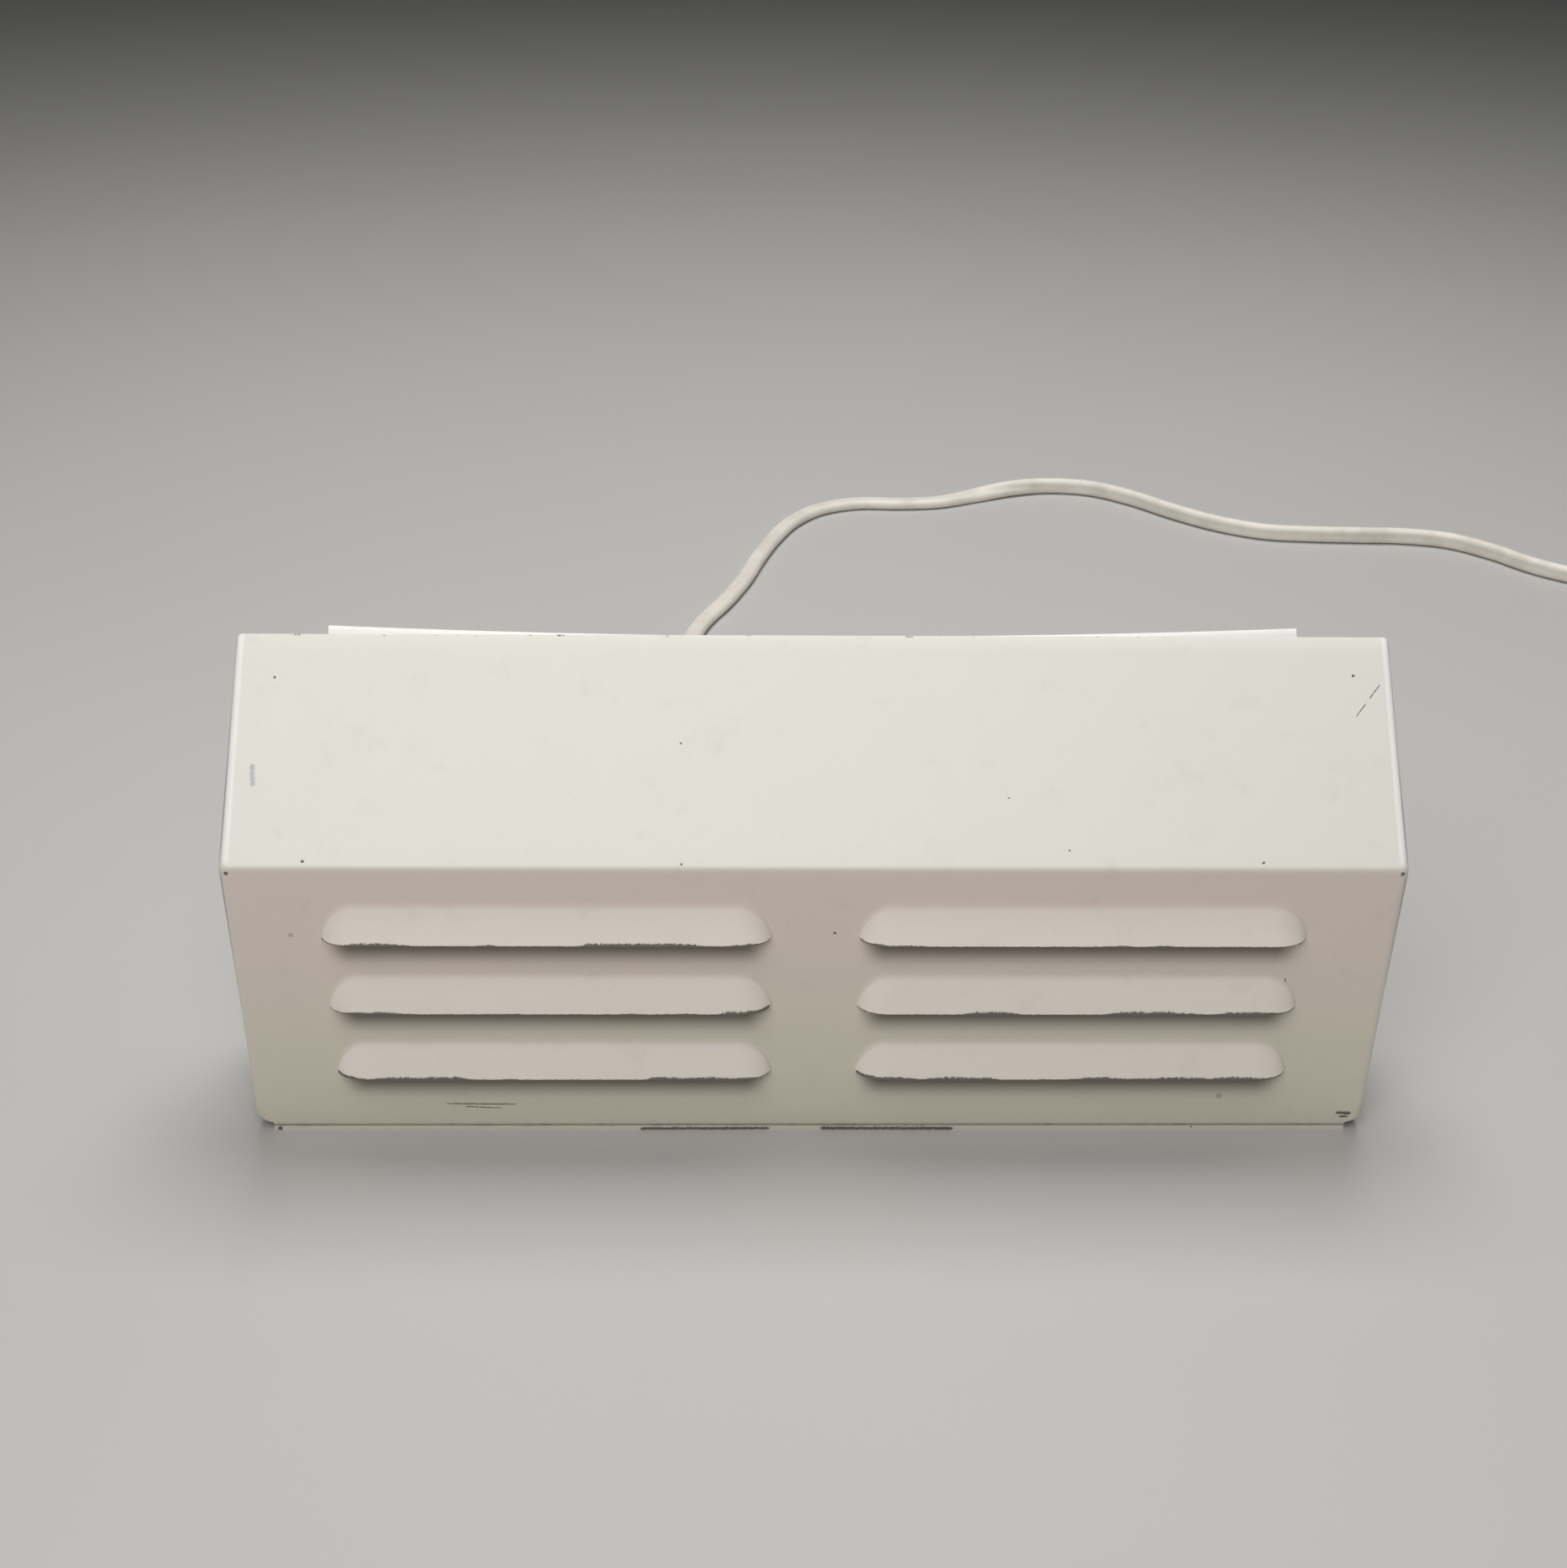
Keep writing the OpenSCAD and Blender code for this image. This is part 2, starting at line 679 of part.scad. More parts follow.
// Places children on a relay: X from its middle, Y along the board, Z out from it
module at_relay(i)
    on_board(relay_at[i]) translate([relay_size[0] / 2, 0, 0]) children();

module relay_base(i)
    color([0.16, 0.18, 0.24]) on_board(relay_at[i]) cube(relay_size);

module relay_coil(i)
    color([0.75, 0.32, 0.12]) at_relay(i) translate([0, coil_at_y, coil_h0]) {
        cylinder(h = coil_l, d = coil_d);
        for (z = [0, coil_l - 1]) translate([0, 0, z]) cylinder(h = 1, d = coil_d + 1.2);
        cylinder(h = coil_l + 1.3, d = pole_d);
    }

module relay_yoke(i)
    color([0.70, 0.70, 0.72]) at_relay(i) difference() {
        translate([-yoke_w / 2, 0, relay_size[2]]) {
            translate([0, yoke_y[0], 0]) cube([yoke_w, yoke_y[1] + yoke_t - yoke_y[0], 1]);
            translate([0, yoke_y[1], 0]) cube([yoke_w, yoke_t, yoke_top - relay_size[2]]);
        }
        // groove that the armature's pin rocks in
        arm_pin(arm_pin_d + 2 * run_fit, yoke_w + 2 * over);
    }

// A rod along the armature's pivot
module arm_pin(d, l) rod_x([-l / 2, arm_pivot[0], arm_pivot[1]], l, d);

module relay_armature(i)
    color([0.72, 0.72, 0.74]) at_relay(i) {
        translate([-arm_w / 2, arm_y[0], arm_pivot[1]]) cube([arm_w, arm_y[1] - arm_y[0], arm_t]);
        arm_pin(arm_pin_d, arm_w);
        translate([-contact_w / 2, arm_y[0] - 3.5, arm_pivot[1]]) cube([contact_w, 3.5, 0.5]);
        rod_z([0, contact_y, arm_pivot[1] - 1], 1, contact_d);
    }

module relay_contact(i)
    color([0.80, 0.65, 0.30]) at_relay(i) translate([-contact_w / 2, 1, 0]) {
        translate([0, 0, relay_size[2]]) cube([contact_w, 0.8, contact_h - relay_size[2]]);
        translate([0, 0, contact_h]) cube([contact_w, 5, 0.6]);
        rod_z([contact_w / 2, contact_y - 1, contact_h + 0.6], 0.3, contact_d);
    }

module relay_base_up() relay_base(0);
module relay_coil_up() relay_coil(0);
module relay_yoke_up() relay_yoke(0);
module relay_armature_up() relay_armature(0);
module relay_contact_up() relay_contact(0);
module relay_base_down() relay_base(1);
module relay_coil_down() relay_coil(1);
module relay_yoke_down() relay_yoke(1);
module relay_armature_down() relay_armature(1);
module relay_contact_down() relay_contact(1);

// ---- power supply and logic ----

module smoothing_capacitor() {
    rim = 0.4;
    color([0.10, 0.16, 0.42]) on_board(capacitor_at) {
        cylinder(h = capacitor_h - rim, d = capacitor_d);
        translate([0, 0, capacitor_h - rim])
            cylinder(h = rim, d1 = capacitor_d, d2 = capacitor_d - 1.4);
    }
}

module bridge_rectifier()
    color([0.12, 0.12, 0.13]) on_board(rectifier_at) difference() {
        cube(rectifier_size);
        rod_z([rectifier_size[0] / 2, rectifier_size[1] / 2, rectifier_size[2] - 1.5], 3, 3.4);
    }

module heat_sink()
    color([0.22, 0.23, 0.24]) on_board(sink_at) {
        cube(sink_size);
        for (x = fin_x) translate([x, 0, sink_size[2]]) cube(fin_size);
    }

module voltage_regulator()
    on_board(regulator_at) translate([0, 0, sink_size[2]]) {
        color("silver") difference() {
            cube(tab_size);
            rod_z([tab_size[0] / 2, tab_size[1] - 3, -over], tab_size[2] + 2 * over, 3.4);
        }
        color([0.10, 0.10, 0.11]) translate([0, 0, tab_size[2]]) cube(regulator_size);
    }

module controller_chip()
    on_board(chip_at) {
        color([0.09, 0.09, 0.10]) translate([0, 0, chip_lift]) difference() {
            cube(chip_size);
            rod_z([0, chip_size[1] / 2, chip_size[2] - 0.5], 2, 2);
        }
        color("silver") for (n = [0 : chip_pins - 1], y = [-0.6, chip_size[1]])
            translate([1.1 + pin_pitch * n, y, 0]) cube([0.5, 0.6, 2.5]);
    }

module receiver_board()
    color([0.16, 0.30, 0.42]) on_board(receiver_at)
        translate([0, 0, receiver_lift]) cube(receiver_size);

module receiver_headers()
    color([0.10, 0.10, 0.11]) on_board(receiver_at) for (x = header_x)
        translate([x, 3, 0]) cube([header_size[0], header_size[1], receiver_lift]);

module tuning_can()
    color("silver") on_board(receiver_at + can_at)
        translate([0, 0, receiver_lift + receiver_size[2]]) difference() {
            cube(can_size);
            rod_z([can_size[0] / 2, can_size[1] / 2, 4], can_size[2], 4);
        }

module antenna_wire() {
    foot = receiver_lift + receiver_size[2];
    top = foot + antenna_rise;
    color([0.15, 0.15, 0.16]) on_board(receiver_at + antenna_at)
        wire([[0, 0, foot], [0, 0, top], [0, antenna_run, top]], 1.4);
}

module output_terminal()
    color([0.20, 0.45, 0.30]) on_board(output_at) difference() {
        cube(output_size);
        for (n = [0 : output_poles - 1]) {
            rod_y([3 + output_pitch * n, -over, 3.5], 6 + over, 2.8);
            rod_z([3 + output_pitch * n, 6, 6.5], 6, 3.6);
        }
    }

// ---- controls ----

module learn_button_base()
    color([0.10, 0.10, 0.11]) on_board(button_at) difference() {
        translate([-button_base[0] / 2, -button_base[1] / 2, 0]) cube(button_base);
        rod_z([0, 0, button_floor], button_base[2] + over, button_bore);
    }

module learn_button() {
    d = button_bore - 2 * run_fit;
    foot = button_floor + button_travel + 0.4;
    rim = 0.4;
    color([0.80, 0.35, 0.05]) on_board(button_at) {
        rod_z([0, 0, foot], button_top - rim - foot, d);
        translate([0, 0, button_top - rim]) cylinder(h = rim, d1 = d, d2 = d - 0.9);
    }
}

module code_switch() {
    slot = [slider_size[0] + 2 * gap, slider_size[1] + slider_travel + 2 * gap];
    color([0.75, 0.12, 0.10]) on_board(switch_at) difference() {
        cube([switch_poles * slider_pitch + 2, 10, switch_h]);
        for (n = [1 : switch_poles])
            translate([slider_x(n) - gap, 2, slider_floor]) cube([slot[0], slot[1], switch_h]);
    }
}

// Where a slider starts along the switch, counted from 1
function slider_x(n) = 1 + slider_pitch * (n - 0.5) - slider_size[0] / 2;

module code_slider(n)
    color("white") on_board(switch_at)
        translate([slider_x(n), 2 + gap, slider_floor + gap]) cube(slider_size);

module code_slider_1() code_slider(1);
module code_slider_2() code_slider(2);
module code_slider_3() code_slider(3);
module code_slider_4() code_slider(4);

module trimmer_body(i)
    color([0.10, 0.25, 0.55]) on_board(trimmer_at[i]) difference() {
        translate([-trimmer_size[0] / 2, -trimmer_size[1] / 2, 0]) cube(trimmer_size);
        rod_z([0, 0, dial_floor], trimmer_size[2], dial_d);
    }

// A dial with a cross slot and a pointer slot that runs out to its edge
module trimmer_dial(i) {
    slot_w = 0.7;
    slot_z = dial_floor + dial_h - 0.6;
    color([0.93, 0.93, 0.90]) on_board(trimmer_at[i]) difference() {
        rod_z([0, 0, dial_floor + 0.2], dial_h, dial_d - 2 * run_fit);
        for (turn = [0, 90])
            rotate(turn) translate([-1.8, -slot_w / 2, slot_z]) cube([3.6, slot_w, over]);
        translate([-slot_w / 2, 1, slot_z]) cube([slot_w, 3, over]);
    }
}

module open_trimmer() trimmer_body(0);
module open_trimmer_dial() trimmer_dial(0);
module close_trimmer() trimmer_body(1);
module close_trimmer_dial() trimmer_dial(1);

// ---- cord ----

module strain_relief() {
    ring_y = wall_back + relief_ring[0];
    sleeve_y = ring_y + relief_ring[1];
    color([0.80, 0.78, 0.74]) {
        rod_y([entry_x, wall_front - relief_flange_t, entry_z], relief_flange_t, entry_d + 4);
        rod_y([entry_x, wall_front, entry_z], ring_y + 0.3 - wall_front,
            entry_d - 2 * thread_fit);
        rod_y([entry_x, ring_y, entry_z], relief_ring[1], entry_d + 3);
        translate([entry_x, sleeve_y, entry_z]) rotate([-90, 0, 0])
            cylinder(h = relief_end - sleeve_y, d1 = entry_d, d2 = cord_w + 1.6);
    }
}

module mains_cord() color([0.80, 0.78, 0.74]) tube(cord_path, cord_w, cord_t);

module cord_coil()
    color([0.80, 0.78, 0.74]) translate([coil_x, coil_y, 0]) rotate_extrude()
        translate([coil_r - coil_half, tie_t]) square([2 * coil_half, coil_h]);

module coil_tie()
    color([0.12, 0.12, 0.13])
        translate([coil_x, coil_y - coil_r, 0]) difference() {
            block([-tie_w / 2, tie_w / 2], [-coil_half - tie_t, coil_half + tie_fit + tie_t],
                [0, coil_h + 2 * tie_t]);
            block([-tie_w, tie_w], [-coil_half, coil_half + tie_fit], [tie_t, coil_h + tie_t]);
        }

// Two-pin plug lying flat, with its tapered sleeve and the last of the cord
module plug()
    translate([plug_x, plug_y, plug_h / 2]) {
        color([0.80, 0.78, 0.74]) {
            rotate([-90, 0, 0]) linear_extrude(plug_l) polygon(plug_outline());
            translate([0, plug_l, 0]) rotate([-90, 0, 0])
                cylinder(h = tail_end - plug_y - plug_l, d1 = plug_sleeve_d, d2 = cord_w + 0.6);
        }
        color("silver") for (side = [-1, 1])
            rod_y([side * pin_gap / 2, -pin_l, 0], pin_l, pin_d);
    }

// Flat six-sided outline of the plug's body
function plug_outline() = [[-plug_w / 2, 0], [-plug_w / 4, -plug_h / 2],
    [plug_w / 4, -plug_h / 2], [plug_w / 2, 0], [plug_w / 4, plug_h / 2],
    [-plug_w / 4, plug_h / 2]];

cover();
chassis();
rear_panel();
cover_screws();
rear_panel_screws();
circuit_board();
board_spacers();
board_screws();
transformer_core();
transformer_bobbin();
primary_winding();
secondary_winding();
transformer_spacers();
transformer_bolts();
primary_leads();
secondary_leads();
mains_terminal();
terminal_clamps();
terminal_screws();
live_lead();
neutral_lead();
fuse_tube();
fuse_caps();
fuse_clips();
relay_base_up();
relay_coil_up();
relay_yoke_up();
relay_armature_up();
relay_contact_up();
relay_base_down();
relay_coil_down();
relay_yoke_down();
relay_armature_down();
relay_contact_down();
smoothing_capacitor();
bridge_rectifier();
heat_sink();
voltage_regulator();
controller_chip();
receiver_board();
receiver_headers();
tuning_can();
antenna_wire();
learn_button_base();
learn_button();
code_switch();
code_slider_1();
code_slider_2();
code_slider_3();
code_slider_4();
open_trimmer();
open_trimmer_dial();
close_trimmer();
close_trimmer_dial();
output_terminal();
strain_relief();
mains_cord();
cord_coil();
coil_tie();
plug();
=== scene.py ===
"""Garage door opener control unit: a louvred steel housing with its board and mains cord.

Lengths are in millimetres until a mesh is made. X runs across the housing, Y
from front to back and Z up, from the standing surface under its middle.
"""

import json
import logging
import math
from dataclasses import dataclass, field
from enum import Enum
from typing import Callable, Sequence

import bmesh
import bpy
import numpy as np
from mathutils import Matrix, Vector


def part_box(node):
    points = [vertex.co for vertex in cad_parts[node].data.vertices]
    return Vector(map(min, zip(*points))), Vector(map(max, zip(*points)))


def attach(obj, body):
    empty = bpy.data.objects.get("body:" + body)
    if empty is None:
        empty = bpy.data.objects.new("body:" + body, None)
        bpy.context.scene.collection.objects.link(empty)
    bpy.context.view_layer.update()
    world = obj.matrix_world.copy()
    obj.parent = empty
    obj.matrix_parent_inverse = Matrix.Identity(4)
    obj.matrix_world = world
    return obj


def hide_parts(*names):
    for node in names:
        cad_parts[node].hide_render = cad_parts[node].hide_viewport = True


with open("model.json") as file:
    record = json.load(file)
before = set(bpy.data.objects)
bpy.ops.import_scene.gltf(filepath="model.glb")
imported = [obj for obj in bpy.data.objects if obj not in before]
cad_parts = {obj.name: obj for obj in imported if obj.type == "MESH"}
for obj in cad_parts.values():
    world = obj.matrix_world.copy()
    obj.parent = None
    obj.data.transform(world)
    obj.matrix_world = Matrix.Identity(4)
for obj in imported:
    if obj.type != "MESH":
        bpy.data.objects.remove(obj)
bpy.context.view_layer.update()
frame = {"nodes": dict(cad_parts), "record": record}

log = logging.getLogger("opener")

MM = 0.001
ROOT2 = math.sqrt(2.0)
Array = np.ndarray
Colour = tuple[float, float, float]
Point = tuple[float, float, float]


# ---- meshes -------------------------------------------------------------


def ease(x: Array | float) -> Array:
    """Smooth step from 0 to 1: 3x^2 - 2x^3, with x held between 0 and 1."""
    t = np.clip(x, 0.0, 1.0)
    return t * t * (3.0 - 2.0 * t)


def unit(v: Array) -> Array:
    """Each row divided by its own length."""
    return v / np.linalg.norm(v, axis=-1, keepdims=True)


def node_box(node: str) -> tuple[Array, Array]:
    """Lowest and highest corner of a CAD node, in millimetres."""
    low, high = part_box(node)
    return np.array(low) / MM, np.array(high) / MM


@dataclass
class Shell:
    """A surface gathered from grids and outlines, in millimetres."""

    points: list[Array] = field(default_factory=list)
    faces: list[tuple[int, ...]] = field(default_factory=list)
    count: int = 0

    def grid(self, surface: Array, close_u: bool = False, close_v: bool = False,
             flip: bool = False) -> None:
        """Adds a grid of points joined into quads.

        Args:
            surface: Points as rows (v) by columns (u) by 3.
            close_u: Joins the last column to the first.
            close_v: Joins the last row to the first.
            flip: Turns the faces the other way.
        """
        rows, columns = surface.shape[:2]
        index = np.arange(rows * columns).reshape(rows, columns) + self.count
        if close_u:
            index = np.hstack([index, index[:, :1]])
        if close_v:
            index = np.vstack([index, index[:1]])
        quads = np.stack([index[:-1, :-1], index[:-1, 1:], index[1:, 1:], index[1:, :-1]], -1)
        quads = quads.reshape(-1, 4)
        if flip:
            quads = quads[:, ::-1]
        self.points.append(surface.reshape(-1, 3))
        self.faces += [tuple(q) for q in quads.tolist()]
        self.count += rows * columns

    def outline(self, ring: Array, flip: bool = False) -> None:
        """Adds one flat face through a closed ring of points."""
        order = range(len(ring) - 1, -1, -1) if flip else range(len(ring))
        self.faces.append(tuple(self.count + i for i in order))
        self.points.append(np.asarray(ring, dtype=float))
        self.count += len(ring)

    def mesh(self, name: str, merge: float = 0.0005) -> bpy.types.Mesh:
        """Makes the mesh in metres, its doubles merged and its faces outwards.

        Args:
            name: The mesh's name.
            merge: Points nearer than this become one, in millimetres.

        Returns:
            The new mesh.
        """
        mesh = bpy.data.meshes.new(name)
        mesh.from_pydata((np.concatenate(self.points) * MM).tolist(), [], self.faces)
        work = bmesh.new()
        work.from_mesh(mesh)
        bmesh.ops.remove_doubles(work, verts=work.verts, dist=merge * MM)
        bmesh.ops.dissolve_degenerate(work, dist=merge * MM, edges=work.edges)
        bmesh.ops.recalc_face_normals(work, faces=work.faces)
        work.to_mesh(mesh)
        work.free()
        return mesh


def smooth(mesh: bpy.types.Mesh, angle: float = 35.0) -> None:
    """Shades a mesh smooth, with a sharp edge wherever it turns by more than angle."""
    mesh.shade_smooth()
    mesh.set_sharp_from_angle(angle=math.radians(angle))


def place(name: str, mesh: bpy.types.Mesh, material: bpy.types.Material, body: str,
          sharp: float = 35.0) -> bpy.types.Object:
    """Puts a finished mesh into the scene as one piece.

    Args:
        name: The piece's name.
        mesh: Its mesh, in metres.
        material: Its finish.
        body: The body that it rides on.
        sharp: Edges that turn by more than this stay sharp, in degrees.

    Returns:
        The new object.
    """
    smooth(mesh, sharp)
    mesh.materials.clear()
    mesh.materials.append(material)
    piece = bpy.data.objects.new(name, mesh)
    bpy.context.scene.collection.objects.link(piece)
    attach(piece, body)
    log.info("%s: %d faces on %s", name, len(mesh.polygons), body)
    return piece


def finished(mesh: bpy.types.Mesh, thickness: float = 0.0, bevel: float = 0.0,
             segments: int = 2) -> bpy.types.Mesh:
    """Applies a wall thickness and rounded edges to a mesh.

    Args:
        mesh: The surface, in metres.
        thickness: Wall added behind the surface, in millimetres.
        bevel: Width of the rounding on its sharp edges, in millimetres.
        segments: Steps in each rounding.

    Returns:
        A new mesh with both applied.
    """
    work = bpy.data.objects.new("work", mesh)
    bpy.context.scene.collection.objects.link(work)
    if thickness:
        wall = work.modifiers.new("wall", "SOLIDIFY")
        wall.thickness = thickness * MM
        wall.offset = -1.0
        wall.use_even_offset = True
    if bevel:
        edge = work.modifiers.new("edge", "BEVEL")
        edge.width = bevel * MM
        edge.segments = segments
        edge.limit_method = "ANGLE"
        edge.angle_limit = math.radians(50)
    graph = bpy.context.evaluated_depsgraph_get()
    result = bpy.data.meshes.new_from_object(work.evaluated_get(graph))
    bpy.data.objects.remove(work)
    return result


def turned(profile: Array, centre: Point, axis: str, sides: int = 48) -> Array:
    """Turns a profile of (along, radius) rows about an axis through a centre.

    A point is centre + along * axis + radius * (cos a, sin a) across it.

    Args:
        profile: Rows of distance along the axis and radius.
        centre: Where along = 0 lies.
        axis: "x", "y" or "z".
        sides: Columns around.

    Returns:
        A grid of points, rows by sides by 3.
    """
    a = np.linspace(0.0, 2.0 * np.pi, sides, endpoint=False)
    along = np.repeat(profile[:, :1], sides, axis=1)
    c = profile[:, 1:] * np.cos(a)
    s = profile[:, 1:] * np.sin(a)
    order = {"x": (along, c, s), "y": (c, along, s), "z": (c, s, along)}[axis]
    return np.stack(order, -1) + np.array(centre)


def rounded(profile: Sequence[tuple[float, float]], radius: float, steps: int = 3) -> Array:
    """Rounds a profile's inner corners with short quadratic curves.

    Each corner P between A and B becomes the curve (1-t)^2 P' + 2t(1-t) P + t^2 P'',
    where P' and P'' lie on its two sides, at most radius from it.

    Args:
        profile: The corner points.
        radius: The most that a side is shortened by.
        steps: Curve steps at each corner.

    Returns:
        The rounded profile.
    """
    p = np.array(profile, dtype=float)
    a, mid, b = p[:-2], p[1:-1], p[2:]
    la = np.linalg.norm(a - mid, axis=1, keepdims=True)
    lb = np.linalg.norm(b - mid, axis=1, keepdims=True)
    start = mid + (a - mid) / la * np.minimum(radius, 0.45 * la)
    end = mid + (b - mid) / lb * np.minimum(radius, 0.45 * lb)
    t = np.linspace(0.0, 1.0, steps + 1)[None, :, None]
    curve = (1 - t) ** 2 * start[:, None] + 2 * t * (1 - t) * mid[:, None] + t**2 * end[:, None]
    return np.vstack([p[:1], curve.reshape(-1, p.shape[1]), p[-1:]])


# ---- materials ----------------------------------------------------------


class Graph:
    """Builds one material's nodes with short calls."""

    def __init__(self, name: str) -> None:
        """Starts an empty material with one Principled shader."""
        self.material = bpy.data.materials.new(name)
        self.material.use_nodes = True
        self.tree = self.material.node_tree
        self.shader = self.tree.nodes["Principled BSDF"]
        self._mm: bpy.types.NodeSocket | None = None

    def add(self, kind: str, **values: object) -> bpy.types.Node:
        """A new node of a kind, with some of its properties set."""
        node = self.tree.nodes.new(kind)
        for key, value in values.items():
            setattr(node, key, value)
        return node

    def feed(self, socket: bpy.types.NodeSocket, value: object) -> None:
        """Links a socket, or sets it when the value is plain."""
        if isinstance(value, bpy.types.NodeSocket):
            self.tree.links.new(value, socket)
        else:
            socket.default_value = value

    def mm(self) -> bpy.types.NodeSocket:
        """Object coordinates in millimetres."""
        if self._mm is None:
            place_node = self.add("ShaderNodeTexCoord")
            scale = self.add("ShaderNodeVectorMath", operation="SCALE")
            self.feed(scale.inputs[0], place_node.outputs["Object"])
            self.feed(scale.inputs["Scale"], 1.0 / MM)
            self._mm = scale.outputs[0]
        return self._mm

    def uv(self) -> bpy.types.NodeSocket:
        """The piece's own UV map."""
        return self.add("ShaderNodeUVMap", uv_map="surface").outputs[0]

    def split(self, vector: object) -> tuple[bpy.types.NodeSocket, ...]:
        """The three parts of a vector."""
        node = self.add("ShaderNodeSeparateXYZ")
        self.feed(node.inputs[0], vector)
        return tuple(node.outputs)

    def math(self, operation: str, a: object, b: object = 0.0,
             clamp: bool = False) -> bpy.types.NodeSocket:
        """One Math node."""
        node = self.add("ShaderNodeMath", operation=operation, use_clamp=clamp)
        self.feed(node.inputs[0], a)
        self.feed(node.inputs[1], b)
        return node.outputs[0]

    def plus(self, a: object, b: object, clamp: bool = False) -> bpy.types.NodeSocket:
        """The sum of two numbers, held between 0 and 1 when clamped."""
        return self.math("ADD", a, b, clamp)

    def minus(self, a: object, b: object) -> bpy.types.NodeSocket:
        """The first number less the second."""
        return self.math("SUBTRACT", a, b)

    def times(self, a: object, b: object, clamp: bool = False) -> bpy.types.NodeSocket:
        """The product of two numbers, held between 0 and 1 when clamped."""
        return self.math("MULTIPLY", a, b, clamp)

    def magnitude(self, a: object) -> bpy.types.NodeSocket:
        """A number without its sign."""
        return self.math("ABSOLUTE", a)

    def wash(self, under: object, tint: object, mask: object,
             strength: float) -> bpy.types.NodeSocket:
        """Lays a tint over a colour by a mask, at no more than its strength."""
        return self.mix(self.times(mask, strength), under, tint)

    def vector(self, operation: str, a: object, b: object) -> bpy.types.NodeSocket:
        """One Vector Math node; the result is its number where it gives one."""
        node = self.add("ShaderNodeVectorMath", operation=operation)
        self.feed(node.inputs[0], a)
        self.feed(node.inputs[1], b)
        number = operation in ("DISTANCE", "DOT_PRODUCT", "LENGTH")
        return node.outputs["Value" if number else "Vector"]

    def stretch(self, vector: object, scale: Point) -> object:
        """A vector scaled by a Mapping node."""
        node = self.add("ShaderNodeMapping")
        self.feed(node.inputs["Vector"], vector)
        node.inputs["Scale"].default_value = scale
        return node.outputs[0]

    def noise(self, scale: float, detail: float = 2.0, rough: float = 0.5,
              vector: object = None) -> bpy.types.NodeSocket:
        """Smooth noise from 0 to 1, with scale in cycles a millimetre."""
        node = self.add("ShaderNodeTexNoise")
        self.feed(node.inputs["Vector"], self.mm() if vector is None else vector)
        node.inputs["Scale"].default_value = scale
        node.inputs["Detail"].default_value = detail
        node.inputs["Roughness"].default_value = rough
        return node.outputs[0]

    def cells(self, scale: float) -> bpy.types.NodeSocket:
        """Distance to the nearest of many scattered points."""
        node = self.add("ShaderNodeTexVoronoi", feature="F1")
        self.feed(node.inputs["Vector"], self.mm())
        node.inputs["Scale"].default_value = scale
        return node.outputs["Distance"]

    def band(self, value: object, low: float, high: float, out_low: float = 0.0,
             out_high: float = 1.0) -> bpy.types.NodeSocket:
        """Carries a number from one range to another, held at the ends."""
        node = self.add("ShaderNodeMapRange", interpolation_type="SMOOTHSTEP")
        for key, number in zip(range(5), (value, low, high, out_low, out_high)):
            self.feed(node.inputs[key], number)
        return node.outputs[0]

    def mix(self, amount: object, a: object, b: object) -> bpy.types.NodeSocket:
        """Mixes two colours."""
        node = self.add("ShaderNodeMix", data_type="RGBA")
        self.feed(node.inputs["Factor"], amount)
        self.feed(node.inputs["A"], rgba(a))
        self.feed(node.inputs["B"], rgba(b))
        return node.outputs["Result"]

    def most(self, values: Sequence[object]) -> object:
        """The largest of several numbers."""
        result = values[0]
        for value in values[1:]:
            result = self.math("MAXIMUM", result, value)
        return result

    def bump(self, height: object, depth: float, under: object = None) -> bpy.types.NodeSocket:
        """A bump whose height from 0 to 1 stands for a depth in millimetres."""
        node = self.add("ShaderNodeBump")
        node.inputs["Strength"].default_value = 1.0
        node.inputs["Distance"].default_value = depth * MM
        self.feed(node.inputs["Height"], height)
        if under is not None:
            self.feed(node.inputs["Normal"], under)
        return node.outputs[0]

    def done(self, colour: object, rough: object, normal: object = None,
             **fixed: object) -> bpy.types.Material:
        """Joins the results to the shader.

        Args:
            colour: Base colour.
            rough: Roughness.
            normal: Normal from a bump, if any.
            **fixed: Constant shader inputs, such as metallic=1.0.

        Returns:
            The finished material.
        """
        self.feed(self.shader.inputs["Base Color"], rgba(colour))
        self.feed(self.shader.inputs["Roughness"], rough)
        if normal is not None:
            self.feed(self.shader.inputs["Normal"], normal)
        for key, value in fixed.items():
            label = key.replace("_", " ").title().replace("Ior", "IOR")
            self.shader.inputs[label].default_value = value
        return self.material


def rgba(value: object) -> object:
    """A colour of three numbers with its alpha; anything else as it is."""
    if isinstance(value, tuple) and len(value) == 3:
        return (*value, 1.0)
    return value


def srgb(red: float, green: float, blue: float) -> Colour:
    """A display colour of 0 to 255 as linear light: ((c + 0.055) / 1.055) ^ 2.4."""
    channels = np.array([red, green, blue]) / 255.0
    linear = np.where(channels < 0.04045, channels / 12.92, ((channels + 0.055) / 1.055) ** 2.4)
    return tuple(float(c) for c in linear)


@dataclass(frozen=True)
class Mark:
    """A spot of wear: a dot, or a stroke when it has an end."""

    at: Point
    size: float
    end: Point | None = None


